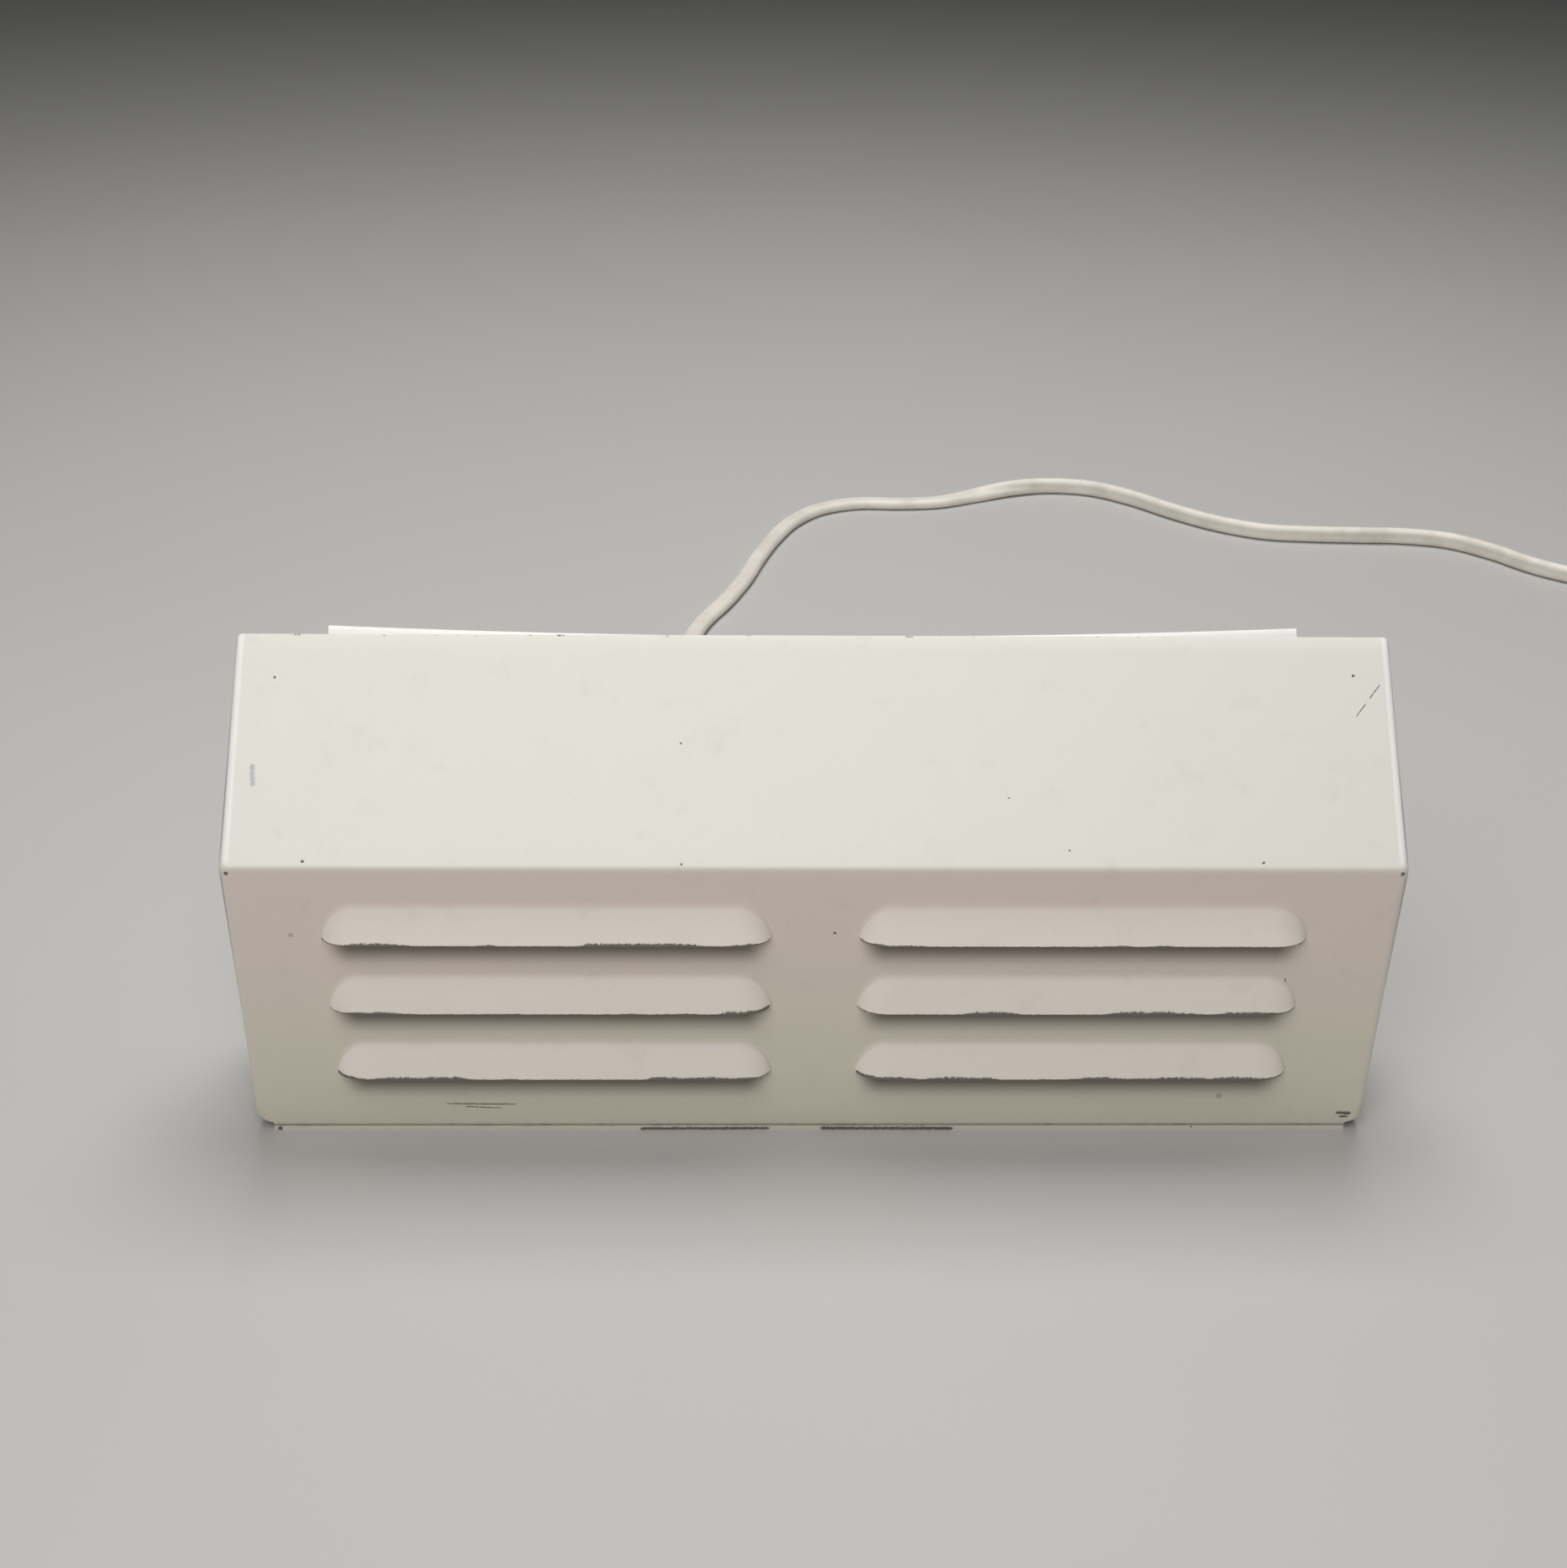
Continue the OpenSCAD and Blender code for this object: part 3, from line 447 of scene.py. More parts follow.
@dataclass(frozen=True)
class Enamel:
    """Sprayed and baked paint on sheet steel, with its wear and painted light towards the bottom."""

    name: str
    colour: Colour
    # The second colour is painted light: the tint of light bounced up from below, towards the bottom.
    painted_low_light: Colour
    rough: float = 0.42
    peel: float = 0.02
    dirt: float = 0.5
    grime_tint: Colour = srgb(150, 140, 118)
    fine_tint: Colour = srgb(120, 112, 100)
    stain_tint: Colour = srgb(104, 124, 138)
    bare_tint: Colour = srgb(62, 54, 48)
    marks: tuple[Mark, ...] = ()
    stains: tuple[Mark, ...] = ()
    chips: Callable[[Graph], object] | None = None
    shade: Callable[[Graph, object], object] | None = None

    def spot(self, g: Graph, mark: Mark, ragged: object) -> bpy.types.NodeSocket:
        """How much of a mark covers a point: 1 inside its ragged edge, 0 outside.

        The distance is to the mark's point, or to the nearest point of its stroke,
        A + clamp((P - A).(B - A) / |B - A|^2) (B - A).
        """
        if mark.end is None:
            away = g.vector("DISTANCE", g.mm(), mark.at)
        else:
            run = np.array(mark.end) - np.array(mark.at)
            offset = g.vector("SUBTRACT", g.mm(), mark.at)
            share = g.times(g.vector("DOT_PRODUCT", offset, tuple(run)), 1.0 / float(run @ run),
                            clamp=True)
            scale = g.add("ShaderNodeVectorMath", operation="SCALE")
            g.feed(scale.inputs[0], tuple(run))
            g.feed(scale.inputs["Scale"], share)
            away = g.vector("DISTANCE", offset, scale.outputs[0])
        broken = 2.2 if mark.end is None else 5.0
        return g.band(g.plus(away, g.times(ragged, broken * mark.size)), mark.size * 1.35,
                      mark.size * 0.75)

    def build(self) -> bpy.types.Material:
        """Layers painted light (a tint towards the bottom and a piece's own painted light and shade),
        grime, stains, bare specks and chips over the paint.
        """
        g = Graph(self.name)
        height = g.split(g.mm())[2]
        # Painted light: towards the bottom the paint turns to its low colour, a tint of light bounced
        # up from below.
        cloudy = g.noise(0.018, 3.0, 0.6)
        tint = g.band(g.plus(height, g.times(cloudy, 46.0)), 20.0, 100.0)
        colour = g.mix(tint, self.painted_low_light, self.colour)
        # A piece's own painted light and shade, if it has any.
        if self.shade is not None:
            colour = self.shade(g, colour)
        grime = g.times(g.band(g.noise(0.09, 6.0, 0.7), 0.52, 0.80), self.dirt)
        colour = g.wash(colour, self.grime_tint, grime, 0.22)
        fine = g.noise(3.2, 3.0, 0.65)
        colour = g.wash(colour, self.fine_tint, g.band(fine, 0.35, 0.75), 0.035)
        specks = g.band(g.cells(0.055), 0.020, 0.010)
        keep = g.band(g.noise(0.030, 1.0), 0.50, 0.56)
        specks = g.times(specks, keep)
        ragged = g.minus(g.noise(2.4, 3.0, 0.7), 0.5)
        if self.stains:
            stain = g.most([self.spot(g, m, ragged) for m in self.stains])
            colour = g.wash(colour, self.stain_tint, stain, 0.45)
        bare = g.most([specks] + [self.spot(g, m, ragged) for m in self.marks])
        if self.chips is not None:
            bare = g.math("MAXIMUM", bare, self.chips(g))
        colour = g.wash(colour, self.bare_tint, bare, 0.86)
        rough = g.plus(g.times(g.noise(0.05, 4.0, 0.6), 0.14), self.rough - 0.07)
        rough = g.plus(rough, g.times(bare, 0.25))
        peel = g.bump(g.noise(0.85, 2.0, 0.45), self.peel)
        dent = g.bump(g.minus(1.0, bare), 0.06, peel)
        return g.done(colour, rough, dent, specular_ior_level=0.45)


@dataclass(frozen=True)
class Metal:
    """Bare or plated metal with fine streaks along one axis."""

    name: str
    colour: Colour
    rough: float = 0.32
    streak: Point = (1.0, 1.0, 1.0)
    tarnish: Colour = (0.25, 0.22, 0.18)
    glint: Colour = (0.9, 0.9, 0.88)
    spread: float = 0.35

    def build(self) -> bpy.types.Material:
        """Streaks in roughness and bump, with blotches of tarnish."""
        g = Graph(self.name)
        lines = g.noise(2.6, 4.0, 0.7, g.stretch(g.mm(), self.streak))
        blotch = g.band(g.noise(0.35, 5.0, 0.65), 0.48, 0.78)
        colour = g.mix(g.times(blotch, self.spread), self.colour, self.tarnish)
        colour = g.wash(colour, self.glint, lines, 0.14)
        rough = g.plus(g.times(lines, 0.22), g.times(blotch, 0.18))
        rough = g.plus(rough, self.rough - 0.12)
        return g.done(colour, rough, g.bump(lines, 0.012), metallic=1.0)


class Skin(Enum):
    """What a moulded plastic's surface is like."""

    SATIN = (0.45, 0.010)
    MATT = (0.62, 0.018)
    GLOSS = (0.24, 0.006)


@dataclass(frozen=True)
class Moulded:
    """Moulded plastic with flow marks, fine texture and a little dust."""

    name: str
    colour: Colour
    skin: Skin = Skin.SATIN
    dust: Colour = (0.45, 0.43, 0.38)
    clear: float = 0.0

    def build(self) -> bpy.types.Material:
        """Mottles the colour, lays dust in patches and roughens the skin."""
        g = Graph(self.name)
        rough, depth = self.skin.value
        flow = g.noise(0.30, 4.0, 0.6)
        fine = g.noise(3.5, 3.0, 0.6)
        darker = tuple(c * 0.78 for c in self.colour)
        colour = g.wash(self.colour, darker, g.band(flow, 0.35, 0.70), 0.5)
        dust = g.band(g.plus(g.noise(0.8, 6.0, 0.75), g.times(fine, 0.2)), 0.62, 0.86)
        colour = g.wash(colour, self.dust, dust, 0.22)
        shine = g.plus(g.times(flow, 0.12), rough - 0.06)
        shine = g.plus(shine, g.times(dust, 0.15), clamp=True)
        return g.done(colour, shine, g.bump(fine, depth), specular_ior_level=0.5,
                      subsurface_weight=self.clear, subsurface_scale=0.001)


@dataclass(frozen=True)
class SoftPvc:
    """Flexible PVC of the cord and its fittings, marked along the cord by its own map."""

    name: str
    colour: Colour
    along: bool = False
    cloud_tint: Colour = srgb(196, 187, 178)
    smear_tint: Colour = srgb(128, 118, 104)
    line_tint: Colour = srgb(160, 150, 138)

    def build(self) -> bpy.types.Material:
        """Faint extrusion lines, handling grime and a dull sheen."""
        g = Graph(self.name)
        cloud = g.band(g.noise(0.06, 5.0, 0.65), 0.38, 0.72)
        colour = g.wash(self.colour, self.cloud_tint, cloud, 0.45)
        smear = g.band(g.noise(0.35, 6.0, 0.72), 0.60, 0.84)
        colour = g.wash(colour, self.smear_tint, smear, 0.30)
        fine = g.noise(2.8, 3.0, 0.6)
        height = fine
        if self.along:
            lines = g.noise(1.0, 3.0, 0.6, g.stretch(g.uv(), (0.6, 60.0, 1.0)))
            height = g.plus(g.times(lines, 0.7), g.times(fine, 0.3))
            colour = g.wash(colour, self.line_tint, lines, 0.10)
        rough = g.plus(g.times(cloud, 0.12), 0.44)
        return g.done(colour, rough, g.bump(height, 0.03), specular_ior_level=0.4,
                      subsurface_weight=0.06, subsurface_scale=0.001)


@dataclass(frozen=True)
class Laminate:
    """Circuit board: solder mask over copper tracks, with tinned pads."""

    name: str
    mask: Colour
    track: Colour
    pitch: float = 2.54
    weave_tint: Colour = (0.30, 0.34, 0.16)
    flux_tint: Colour = (0.40, 0.30, 0.12)
    pad_tint: Colour = (0.62, 0.61, 0.58)

    def run(self, g: Graph, along: object, across: object, length: float,
            offset: float) -> bpy.types.NodeSocket:
        """Straight tracks one pitch apart, each present or not over a length.

        The track's place across is across / pitch, whose whole part numbers it and
        whose fraction gives its width; along / length numbers its stretch.
        """
        row = g.math("DIVIDE", across, self.pitch)
        number = g.math("FLOOR", row)
        place_in = g.magnitude(g.minus(g.math("FRACT", row), 0.5))
        line = g.band(place_in, 0.17, 0.13)
        cell = g.add("ShaderNodeCombineXYZ")
        g.feed(cell.inputs[0], number)
        shifted = g.plus(along, g.times(number, 7.3))
        g.feed(cell.inputs[1], g.math("FLOOR", g.math("DIVIDE", shifted, length)))
        g.feed(cell.inputs[2], offset)
        luck = g.add("ShaderNodeTexWhiteNoise")
        g.feed(luck.inputs["Vector"], cell.outputs[0])
        return g.times(line, g.math("GREATER_THAN", luck.outputs["Value"], 0.52))

    def build(self) -> bpy.types.Material:
        """Two sets of tracks, round pads, weave and flux stains."""
        g = Graph(self.name)
        x, _, z = g.split(g.mm())
        level = self.run(g, x, z, 17.0, 0.0)
        upright = self.run(g, z, x, 11.0, 5.0)
        tracks = g.most([level, upright])
        weave = g.noise(2.2, 2.0, 0.5, g.stretch(g.mm(), (1.0, 1.0, 3.0)))
        colour = g.wash(self.mask, self.track, tracks, 0.65)
        colour = g.wash(colour, self.weave_tint, weave, 0.16)
        flux = g.band(g.noise(0.12, 5.0, 0.7), 0.56, 0.76)
        colour = g.wash(colour, self.flux_tint, flux, 0.18)
        px = g.minus(g.math("FRACT", g.math("DIVIDE", x, self.pitch)), 0.5)
        pz = g.minus(g.math("FRACT", g.math("DIVIDE", z, self.pitch)), 0.5)
        away = g.math("SQRT", g.plus(g.times(px, px), g.times(pz, pz)))
        pad = g.times(g.band(away, 0.30, 0.27), g.band(tracks, 0.4, 0.6))
        colour = g.mix(pad, colour, self.pad_tint)
        height = g.plus(g.times(tracks, 0.6), g.times(pad, 0.4))
        rough = g.plus(g.times(flux, 0.2), 0.28)
        return g.done(colour, rough, g.bump(height, 0.07), metallic=0.0)


@dataclass(frozen=True)
class Wound:
    """Wire or tape wound in turns that lie one above the other."""

    name: str
    colour: Colour
    groove: Colour
    pitch: float
    axis: int = 2
    metal: float = 0.0
    depth: float = 0.12

    def build(self) -> bpy.types.Material:
        """Round turns, |sin| of the place along the axis, wandering a little, with painted shade in
        the grooves between them.
        """
        g = Graph(self.name)
        along = g.split(g.mm())[self.axis]
        wander = g.times(g.noise(0.12, 2.0), self.pitch * 0.8)
        phase = g.times(g.plus(along, wander), math.pi / self.pitch)
        turn = g.magnitude(g.math("SINE", phase))
        # Painted shade: the colour falls to the groove colour between the turns.
        colour = g.mix(g.band(turn, 0.05, 0.55), self.groove, self.colour)
        varnish = g.band(g.noise(0.25, 5.0, 0.7), 0.50, 0.75)
        colour = g.wash(colour, self.groove, varnish, 0.30)
        rough = g.plus(g.times(varnish, 0.25), 0.26)
        return g.done(colour, rough, g.bump(turn, self.depth), metallic=self.metal)


@dataclass(frozen=True)
class Stack:
    """Varnished laminations, stacked along Y and seen as fine lines on their cut sides."""

    name: str
    pitch: float = 0.5
    dark: Colour = (0.10, 0.10, 0.11)
    light: Colour = (0.27, 0.27, 0.28)
    varnish: Colour = (0.16, 0.12, 0.08)
    rust: Colour = (0.26, 0.11, 0.04)

    def build(self) -> bpy.types.Material:
        """Alternate sheets a little lighter, with rust freckles and thick varnish."""
        g = Graph(self.name)
        y = g.split(g.mm())[1]
        phase = g.times(y, 2 * math.pi / self.pitch)
        sheet = g.band(g.math("SINE", phase), -0.4, 0.4)
        tone = g.noise(0.5, 4.0, 0.7)
        colour = g.mix(sheet, self.dark, self.light)
        colour = g.wash(colour, self.varnish, tone, 0.4)
        rust = g.band(g.noise(0.7, 6.0, 0.75), 0.62, 0.72)
        colour = g.wash(colour, self.rust, rust, 0.65)
        rough = g.plus(g.times(rust, 0.35), 0.36)
        return g.done(colour, rough, g.bump(sheet, 0.05), metallic=0.55)


@dataclass(frozen=True)
class TwoParts:
    """Black resin with tinned metal beyond a limit on each side of a middle."""

    name: str
    axis: int
    middle: float
    limit: float
    resin: tuple[Colour, Colour] = ((0.012, 0.012, 0.013), (0.035, 0.034, 0.033))
    tin: tuple[Colour, Colour] = ((0.72, 0.72, 0.71), (0.46, 0.45, 0.42))

    def build(self) -> bpy.types.Material:
        """Metal where |coordinate - middle| is more than the limit, resin elsewhere."""
        g = Graph(self.name)
        away = g.magnitude(g.minus(g.split(g.mm())[self.axis], self.middle))
        metal = g.math("GREATER_THAN", away, self.limit)
        fine = g.noise(3.0, 3.0, 0.6)
        resin = g.wash(*self.resin, fine, 0.5)
        tin = g.mix(g.band(g.noise(0.8, 4.0, 0.7), 0.4, 0.7), *self.tin)
        g.feed(g.shader.inputs["Metallic"], metal)
        rough = g.plus(g.times(fine, 0.2), 0.36)
        return g.done(g.mix(metal, resin, tin), rough, g.bump(fine, 0.02))


@dataclass(frozen=True)
class ClearGlass:
    """Thin clear glass with faint smears."""

    name: str
    colour: Colour = (0.93, 0.97, 0.96)

    def build(self) -> bpy.types.Material:
        """Mostly transmitting, its roughness raised a little by smears."""
        g = Graph(self.name)
        smear = g.noise(0.8, 4.0, 0.6)
        return g.done(self.colour, g.times(smear, 0.16), g.bump(smear, 0.01),
                      transmission_weight=0.92, ior=1.45)


@dataclass(frozen=True)
class Banded:
    """Lacquered resistor bodies: rings of colour set by the piece's own map."""

    name: str
    body: Colour
    bands: int = 4
    ring_colour: Colour = (0.50, 0.06, 0.04)

    def build(self) -> bpy.types.Material:
        """U runs along a body; V is its own number, which picks each ring's hue."""
        g = Graph(self.name)
        u, v, _ = g.split(g.uv())
        fine = g.noise(2.5, 3.0, 0.6)
        colour = g.wash(self.body, tuple(c * 0.7 for c in self.body), fine, 0.35)
        for i in range(self.bands):
            middle = 0.26 + 0.13 * i + (0.09 if i == self.bands - 1 else 0.0)
            ring = g.band(g.magnitude(g.minus(u, middle)), 0.035, 0.028)
            luck = g.add("ShaderNodeTexWhiteNoise", noise_dimensions="1D")
            g.feed(luck.inputs["W"], g.plus(v, 3.7 * i))
            hue = g.add("ShaderNodeHueSaturation")
            hue.inputs["Color"].default_value = rgba(self.ring_colour)
            g.feed(hue.inputs["Hue"], luck.outputs["Value"])
            colour = g.mix(ring, colour, hue.outputs[0])
        return g.done(colour, g.plus(g.times(fine, 0.1), 0.26), g.bump(fine, 0.02))


# ---- cord ---------------------------------------------------------------


@dataclass
class CordPath:
    """Where the flat cord's middle runs, and how its section is turned."""

    entry: Point = (-55.0, 62.0, 27.0)
    width: float = 7.4
    thick: float = 4.6
    coil: Point = (390.0, 280.0, 0.0)
    coil_out: float = 51.4
    coil_in: float = 36.5
    turns: float = 3.25
    turn_steps: int = 16
    climb: float = 7.5
    climb_turns: float = 0.17
    tie_lift: float = 0.9
    tie_reach: float = 9.0
    flat: float = 2.35
    edge: float = 3.75

    def route(self) -> Array:
        """Points of the free stretch: X, Y from the entry, Z, and turn in degrees."""
        z, f, e = self.entry[2], self.flat, self.edge
        return np.array([
            (0, 0, z, 0), (0, 5, z, 0), (0, 13, 26, 0), (0, 24, 22.5, 0), (0, 37, 16, 0),
            (0, 50, 9.5, 0), (1, 65, 4.6, 0), (1, 83, f, 0), (2, 105, f, 0), (4, 127, f, 0),
            (6, 149, f, 0), (8, 171, f, 0), (10, 193, f, 0), (13, 214, f, 0), (18, 234, f, 0),
            (27, 255, f, 0), (35, 278, f, 0), (41, 301, f, 0), (48, 323, f, 0), (57, 343, f, 0),
            (70, 358, f, 0), (87, 365, f, 0), (107, 365, f, 0), (125, 367, f, 0),
            (142, 374, 2.8, 25), (160, 381, 3.8, 65), (179, 385, e, 90), (198, 382, e, 90),
            (216, 370, e, 90), (232, 354, e, 90), (249, 340, e, 90), (269, 330, e, 90),
            (291, 327, e, 90), (313, 326, e, 90), (333, 325, e, 90), (351, 320, e, 90),
            (366, 308, e, 90), (379, 293, e, 90), (395, 281, e, 90), (411, 274, e, 90),
            (425, 271, e, 90), (436, 270, e, 90)], dtype=float)

    def spiral(self) -> Array:
        """The coil's turns: radius falls evenly with the angle, and the last part rises.

        x = cx + r cos a, y = cy + r sin a, with a running clockwise from the top. It lifts
        a little over the tie, by tie_lift exp(-(d / tie_reach)^2) at a distance d.
        """
        steps = int(self.turns * self.turn_steps) + 1
        share = np.linspace(0.0, 1.0, steps)[1:]
        a = np.pi / 2 - share * self.turns * 2 * np.pi
        r = self.coil_out + (self.coil_in - self.coil_out) * share
        tie = np.abs(np.mod(a + np.pi / 2 + np.pi, 2 * np.pi) - np.pi) * r
        rise = ease((share * self.turns - (self.turns - self.climb_turns)) / self.climb_turns)
        z = self.edge + self.tie_lift * np.exp(-(tie / self.tie_reach) ** 2) + self.climb * rise
        return np.stack([self.coil[0] + r * np.cos(a), self.coil[1] + r * np.sin(a), z,
                         np.full_like(a, 90.0)], 1)

    def tail(self) -> Array:
        """From the coil, flat over its outer turns and down into the plug."""
        x, y = self.coil[0] + self.coil_in, self.coil[1]
        return np.array([
            (x, y - 9, 10.7, 50), (x, y - 19, 10.0, 12), (x, y - 29, 9.9, 0),
            (x + 0.2, y - 38, 9.2, 0), (x + 0.4, y - 47, 8.0, 0), (x + 0.5, y - 56, 7.2, 0),
            (x + 0.5, y - 64, 7.0, 0)])

    def points(self) -> Array:
        """The whole route: free stretch, coil and tail."""
        free = self.route()
        free[:, 0] += self.entry[0]
        free[:, 1] += self.entry[1]
        return np.vstack([free, self.spiral(), self.tail()])

    def sampled(self, step: float = 2.6) -> Array:
        """The route on one smooth curve, a ring every step millimetres.

        Between points the curve is a centripetal Catmull-Rom spline, worked out as a
        cubic Hermite curve in distance along the chord.
        """
        p = self.points()
        gap = np.linalg.norm(np.diff(p[:, :3], axis=0), axis=1)
        s = np.concatenate([[0.0], np.cumsum(gap)])
        slope = np.empty_like(p)
        before, after = gap[:-1, None], gap[1:, None]
        slope[1:-1] = (np.diff(p, axis=0)[:-1] / before * after
                       + np.diff(p, axis=0)[1:] / after * before) / (before + after)
        slope[0] = (p[1] - p[0]) / gap[0]
        slope[-1] = (p[-1] - p[-2]) / gap[-1]
        at = np.linspace(0.0, s[-1], int(s[-1] / step) + 1)
        k = np.clip(np.searchsorted(s, at, side="right") - 1, 0, len(gap) - 1)
        h = gap[k][:, None]
        t = ((at - s[k]) / gap[k])[:, None]
        return ((2 * t**3 - 3 * t**2 + 1) * p[k] + (t**3 - 2 * t**2 + t) * h * slope[k]
                + (3 * t**2 - 2 * t**3) * p[k + 1] + (t**3 - t**2) * h * slope[k + 1])


@dataclass
class StrainRelief:
    """A flanged bush and a ribbed sleeve that tapers to the cord."""

    finish: SoftPvc
    flange_r: float = 8.0
    flange_t: float = 2.0
    neck_r: float = 5.9
    neck_end: float = 5.5
    collar_r: float = 7.5
    collar_end: float = 7.9
    root_r: float = 6.0
    tip_r: float = 4.7
    mouth_r: float = 4.2
    ribs: float = 7.0
    rib_depth: float = 0.9

    def profile(self, length: float) -> Array:
        """Distance and radius of the bush, then of the sleeve.

        The sleeve's radius falls evenly along it, and dips in each gap between ribs.

        Args:
            length: From the flange to the sleeve's tip.

        Returns:
            Rows of distance and radius.
        """
        bush = [(0.0, 0.0), (0.0, self.flange_r), (self.flange_t, self.flange_r),
                (self.flange_t, self.neck_r), (self.neck_end, self.neck_r),
                (self.neck_end, self.collar_r), (self.collar_end, self.collar_r)]
        sleeve = np.linspace(self.collar_end, length, 141)
        share = (sleeve - self.collar_end) / (length - self.collar_end)
        ribs = ease((np.abs(np.mod(share * self.ribs, 1.0) - 0.5) - 0.20) / 0.08)
        plain = ease((share - 0.94) / 0.03) + ease((0.07 - share) / 0.03)
        taper = self.root_r + (self.tip_r - self.root_r) * share
        radius = taper - self.rib_depth * (1 - np.clip(ribs + plain, 0, 1))
        return np.vstack([rounded(bush, 0.35), np.stack([sleeve, radius], 1),
                          [(length, self.mouth_r), (length, 0.0)]])

    def build(self) -> bpy.types.Object:
        """Turns the profile about the cord's line where it leaves the housing."""
        low, high = node_box("strain_relief")
        middle = (low + high) / 2
        shell = Shell()
        shell.grid(turned(self.profile(high[1] - low[1]), (middle[0], low[1], middle[2]), "y", 56),
                   close_u=True)
        piece = place("strain_relief_sleeve", shell.mesh("strain_relief_sleeve"),
                      self.finish.build(), "chassis", 40)
        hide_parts("strain_relief")
        return piece


@dataclass
class CoilTie:
    """A plastic-covered wire tie round the coil, its two ends twisted together on top."""

    corner: float = 2.4
    thick: float = 0.72
    rim: float = 0.30
    wire_rise: float = 0.42
    wire_half: float = 0.6
    tail: float = 13.0
    tail_start: float = 2.0
    tail_twist: float = 0.9
    finish: Moulded = Moulded("tie_black", srgb(38, 38, 40), Skin.SATIN)

    def strip(self, middle: Array, half: Array) -> Array:
        """The strip's closed section carried round a box with round corners.

        Its face stands rim + wire_rise exp(-(w / wire_half)^2) over its back, at w from
        the strip's middle.
        """
        a = np.linspace(0, 2 * np.pi, 96, endpoint=False)
        core = half[1:] - self.corner
        c, s = np.cos(a), np.sin(a)
        path = np.stack([
            np.sign(c) * core[0] * np.minimum(1, np.abs(c) * 2.2) + self.corner * c,
            np.sign(s) * core[1] * np.minimum(1, np.abs(s) * 2.2) + self.corner * s], 1)
        outward = unit(np.stack([np.gradient(path[:, 1]), -np.gradient(path[:, 0])], 1))
        v = np.linspace(-1, 1, 15)
        rise = self.rim + self.wire_rise * np.exp(-((v * half[0] / self.wire_half) ** 2))
        across = np.concatenate([v, v[::-1]])
        depth = np.concatenate([rise - self.thick, np.full(len(v), -self.thick)])
        grid = np.empty((len(across), len(a), 3))
        grid[..., 0] = middle[0] + across[:, None] * half[0]
        grid[..., 1] = middle[1] + path[None, :, 0] + depth[:, None] * outward[None, :, 0]
        grid[..., 2] = middle[2] + path[None, :, 1] + depth[:, None] * outward[None, :, 1]
        return grid

    def twisted_end(self, middle: Array, top: float, phase: float) -> Array:
        """One of the two ends: a thin wire on a flattened helix along the coil's top."""
        t = np.linspace(0, 1, 60)[:, None]
        b = np.linspace(0, 2 * np.pi, 10, endpoint=False)[None, :]
        twist = phase + t * 5 * np.pi
        x = middle[0] + self.tail_twist * np.cos(twist) + 0.6 * np.cos(b)
        z = top - 0.2 + self.tail_twist * np.sin(twist) * 0.4 + 0.55 * np.sin(b)
        y = middle[1] + self.tail_start - t * self.tail + 0 * b
        return np.stack([x + 0 * y, y, z], -1)

    def build(self) -> bpy.types.Object:
        """Builds the strip and its two twisted ends as one piece."""
        low, high = node_box("coil_tie")
        middle = (low + high) / 2
        shell = Shell()
        shell.grid(self.strip(middle, (high - low) / 2), close_u=True, close_v=True)
        for phase in (0.0, np.pi):
            wire = self.twisted_end(middle, high[2], phase)
            shell.grid(wire, close_u=True)
            shell.outline(wire[0])
            shell.outline(wire[-1])
        piece = place("coil_tie_strip", shell.mesh("coil_tie_strip"), self.finish.build(),
                      "chassis")
        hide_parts("coil_tie")
        return piece


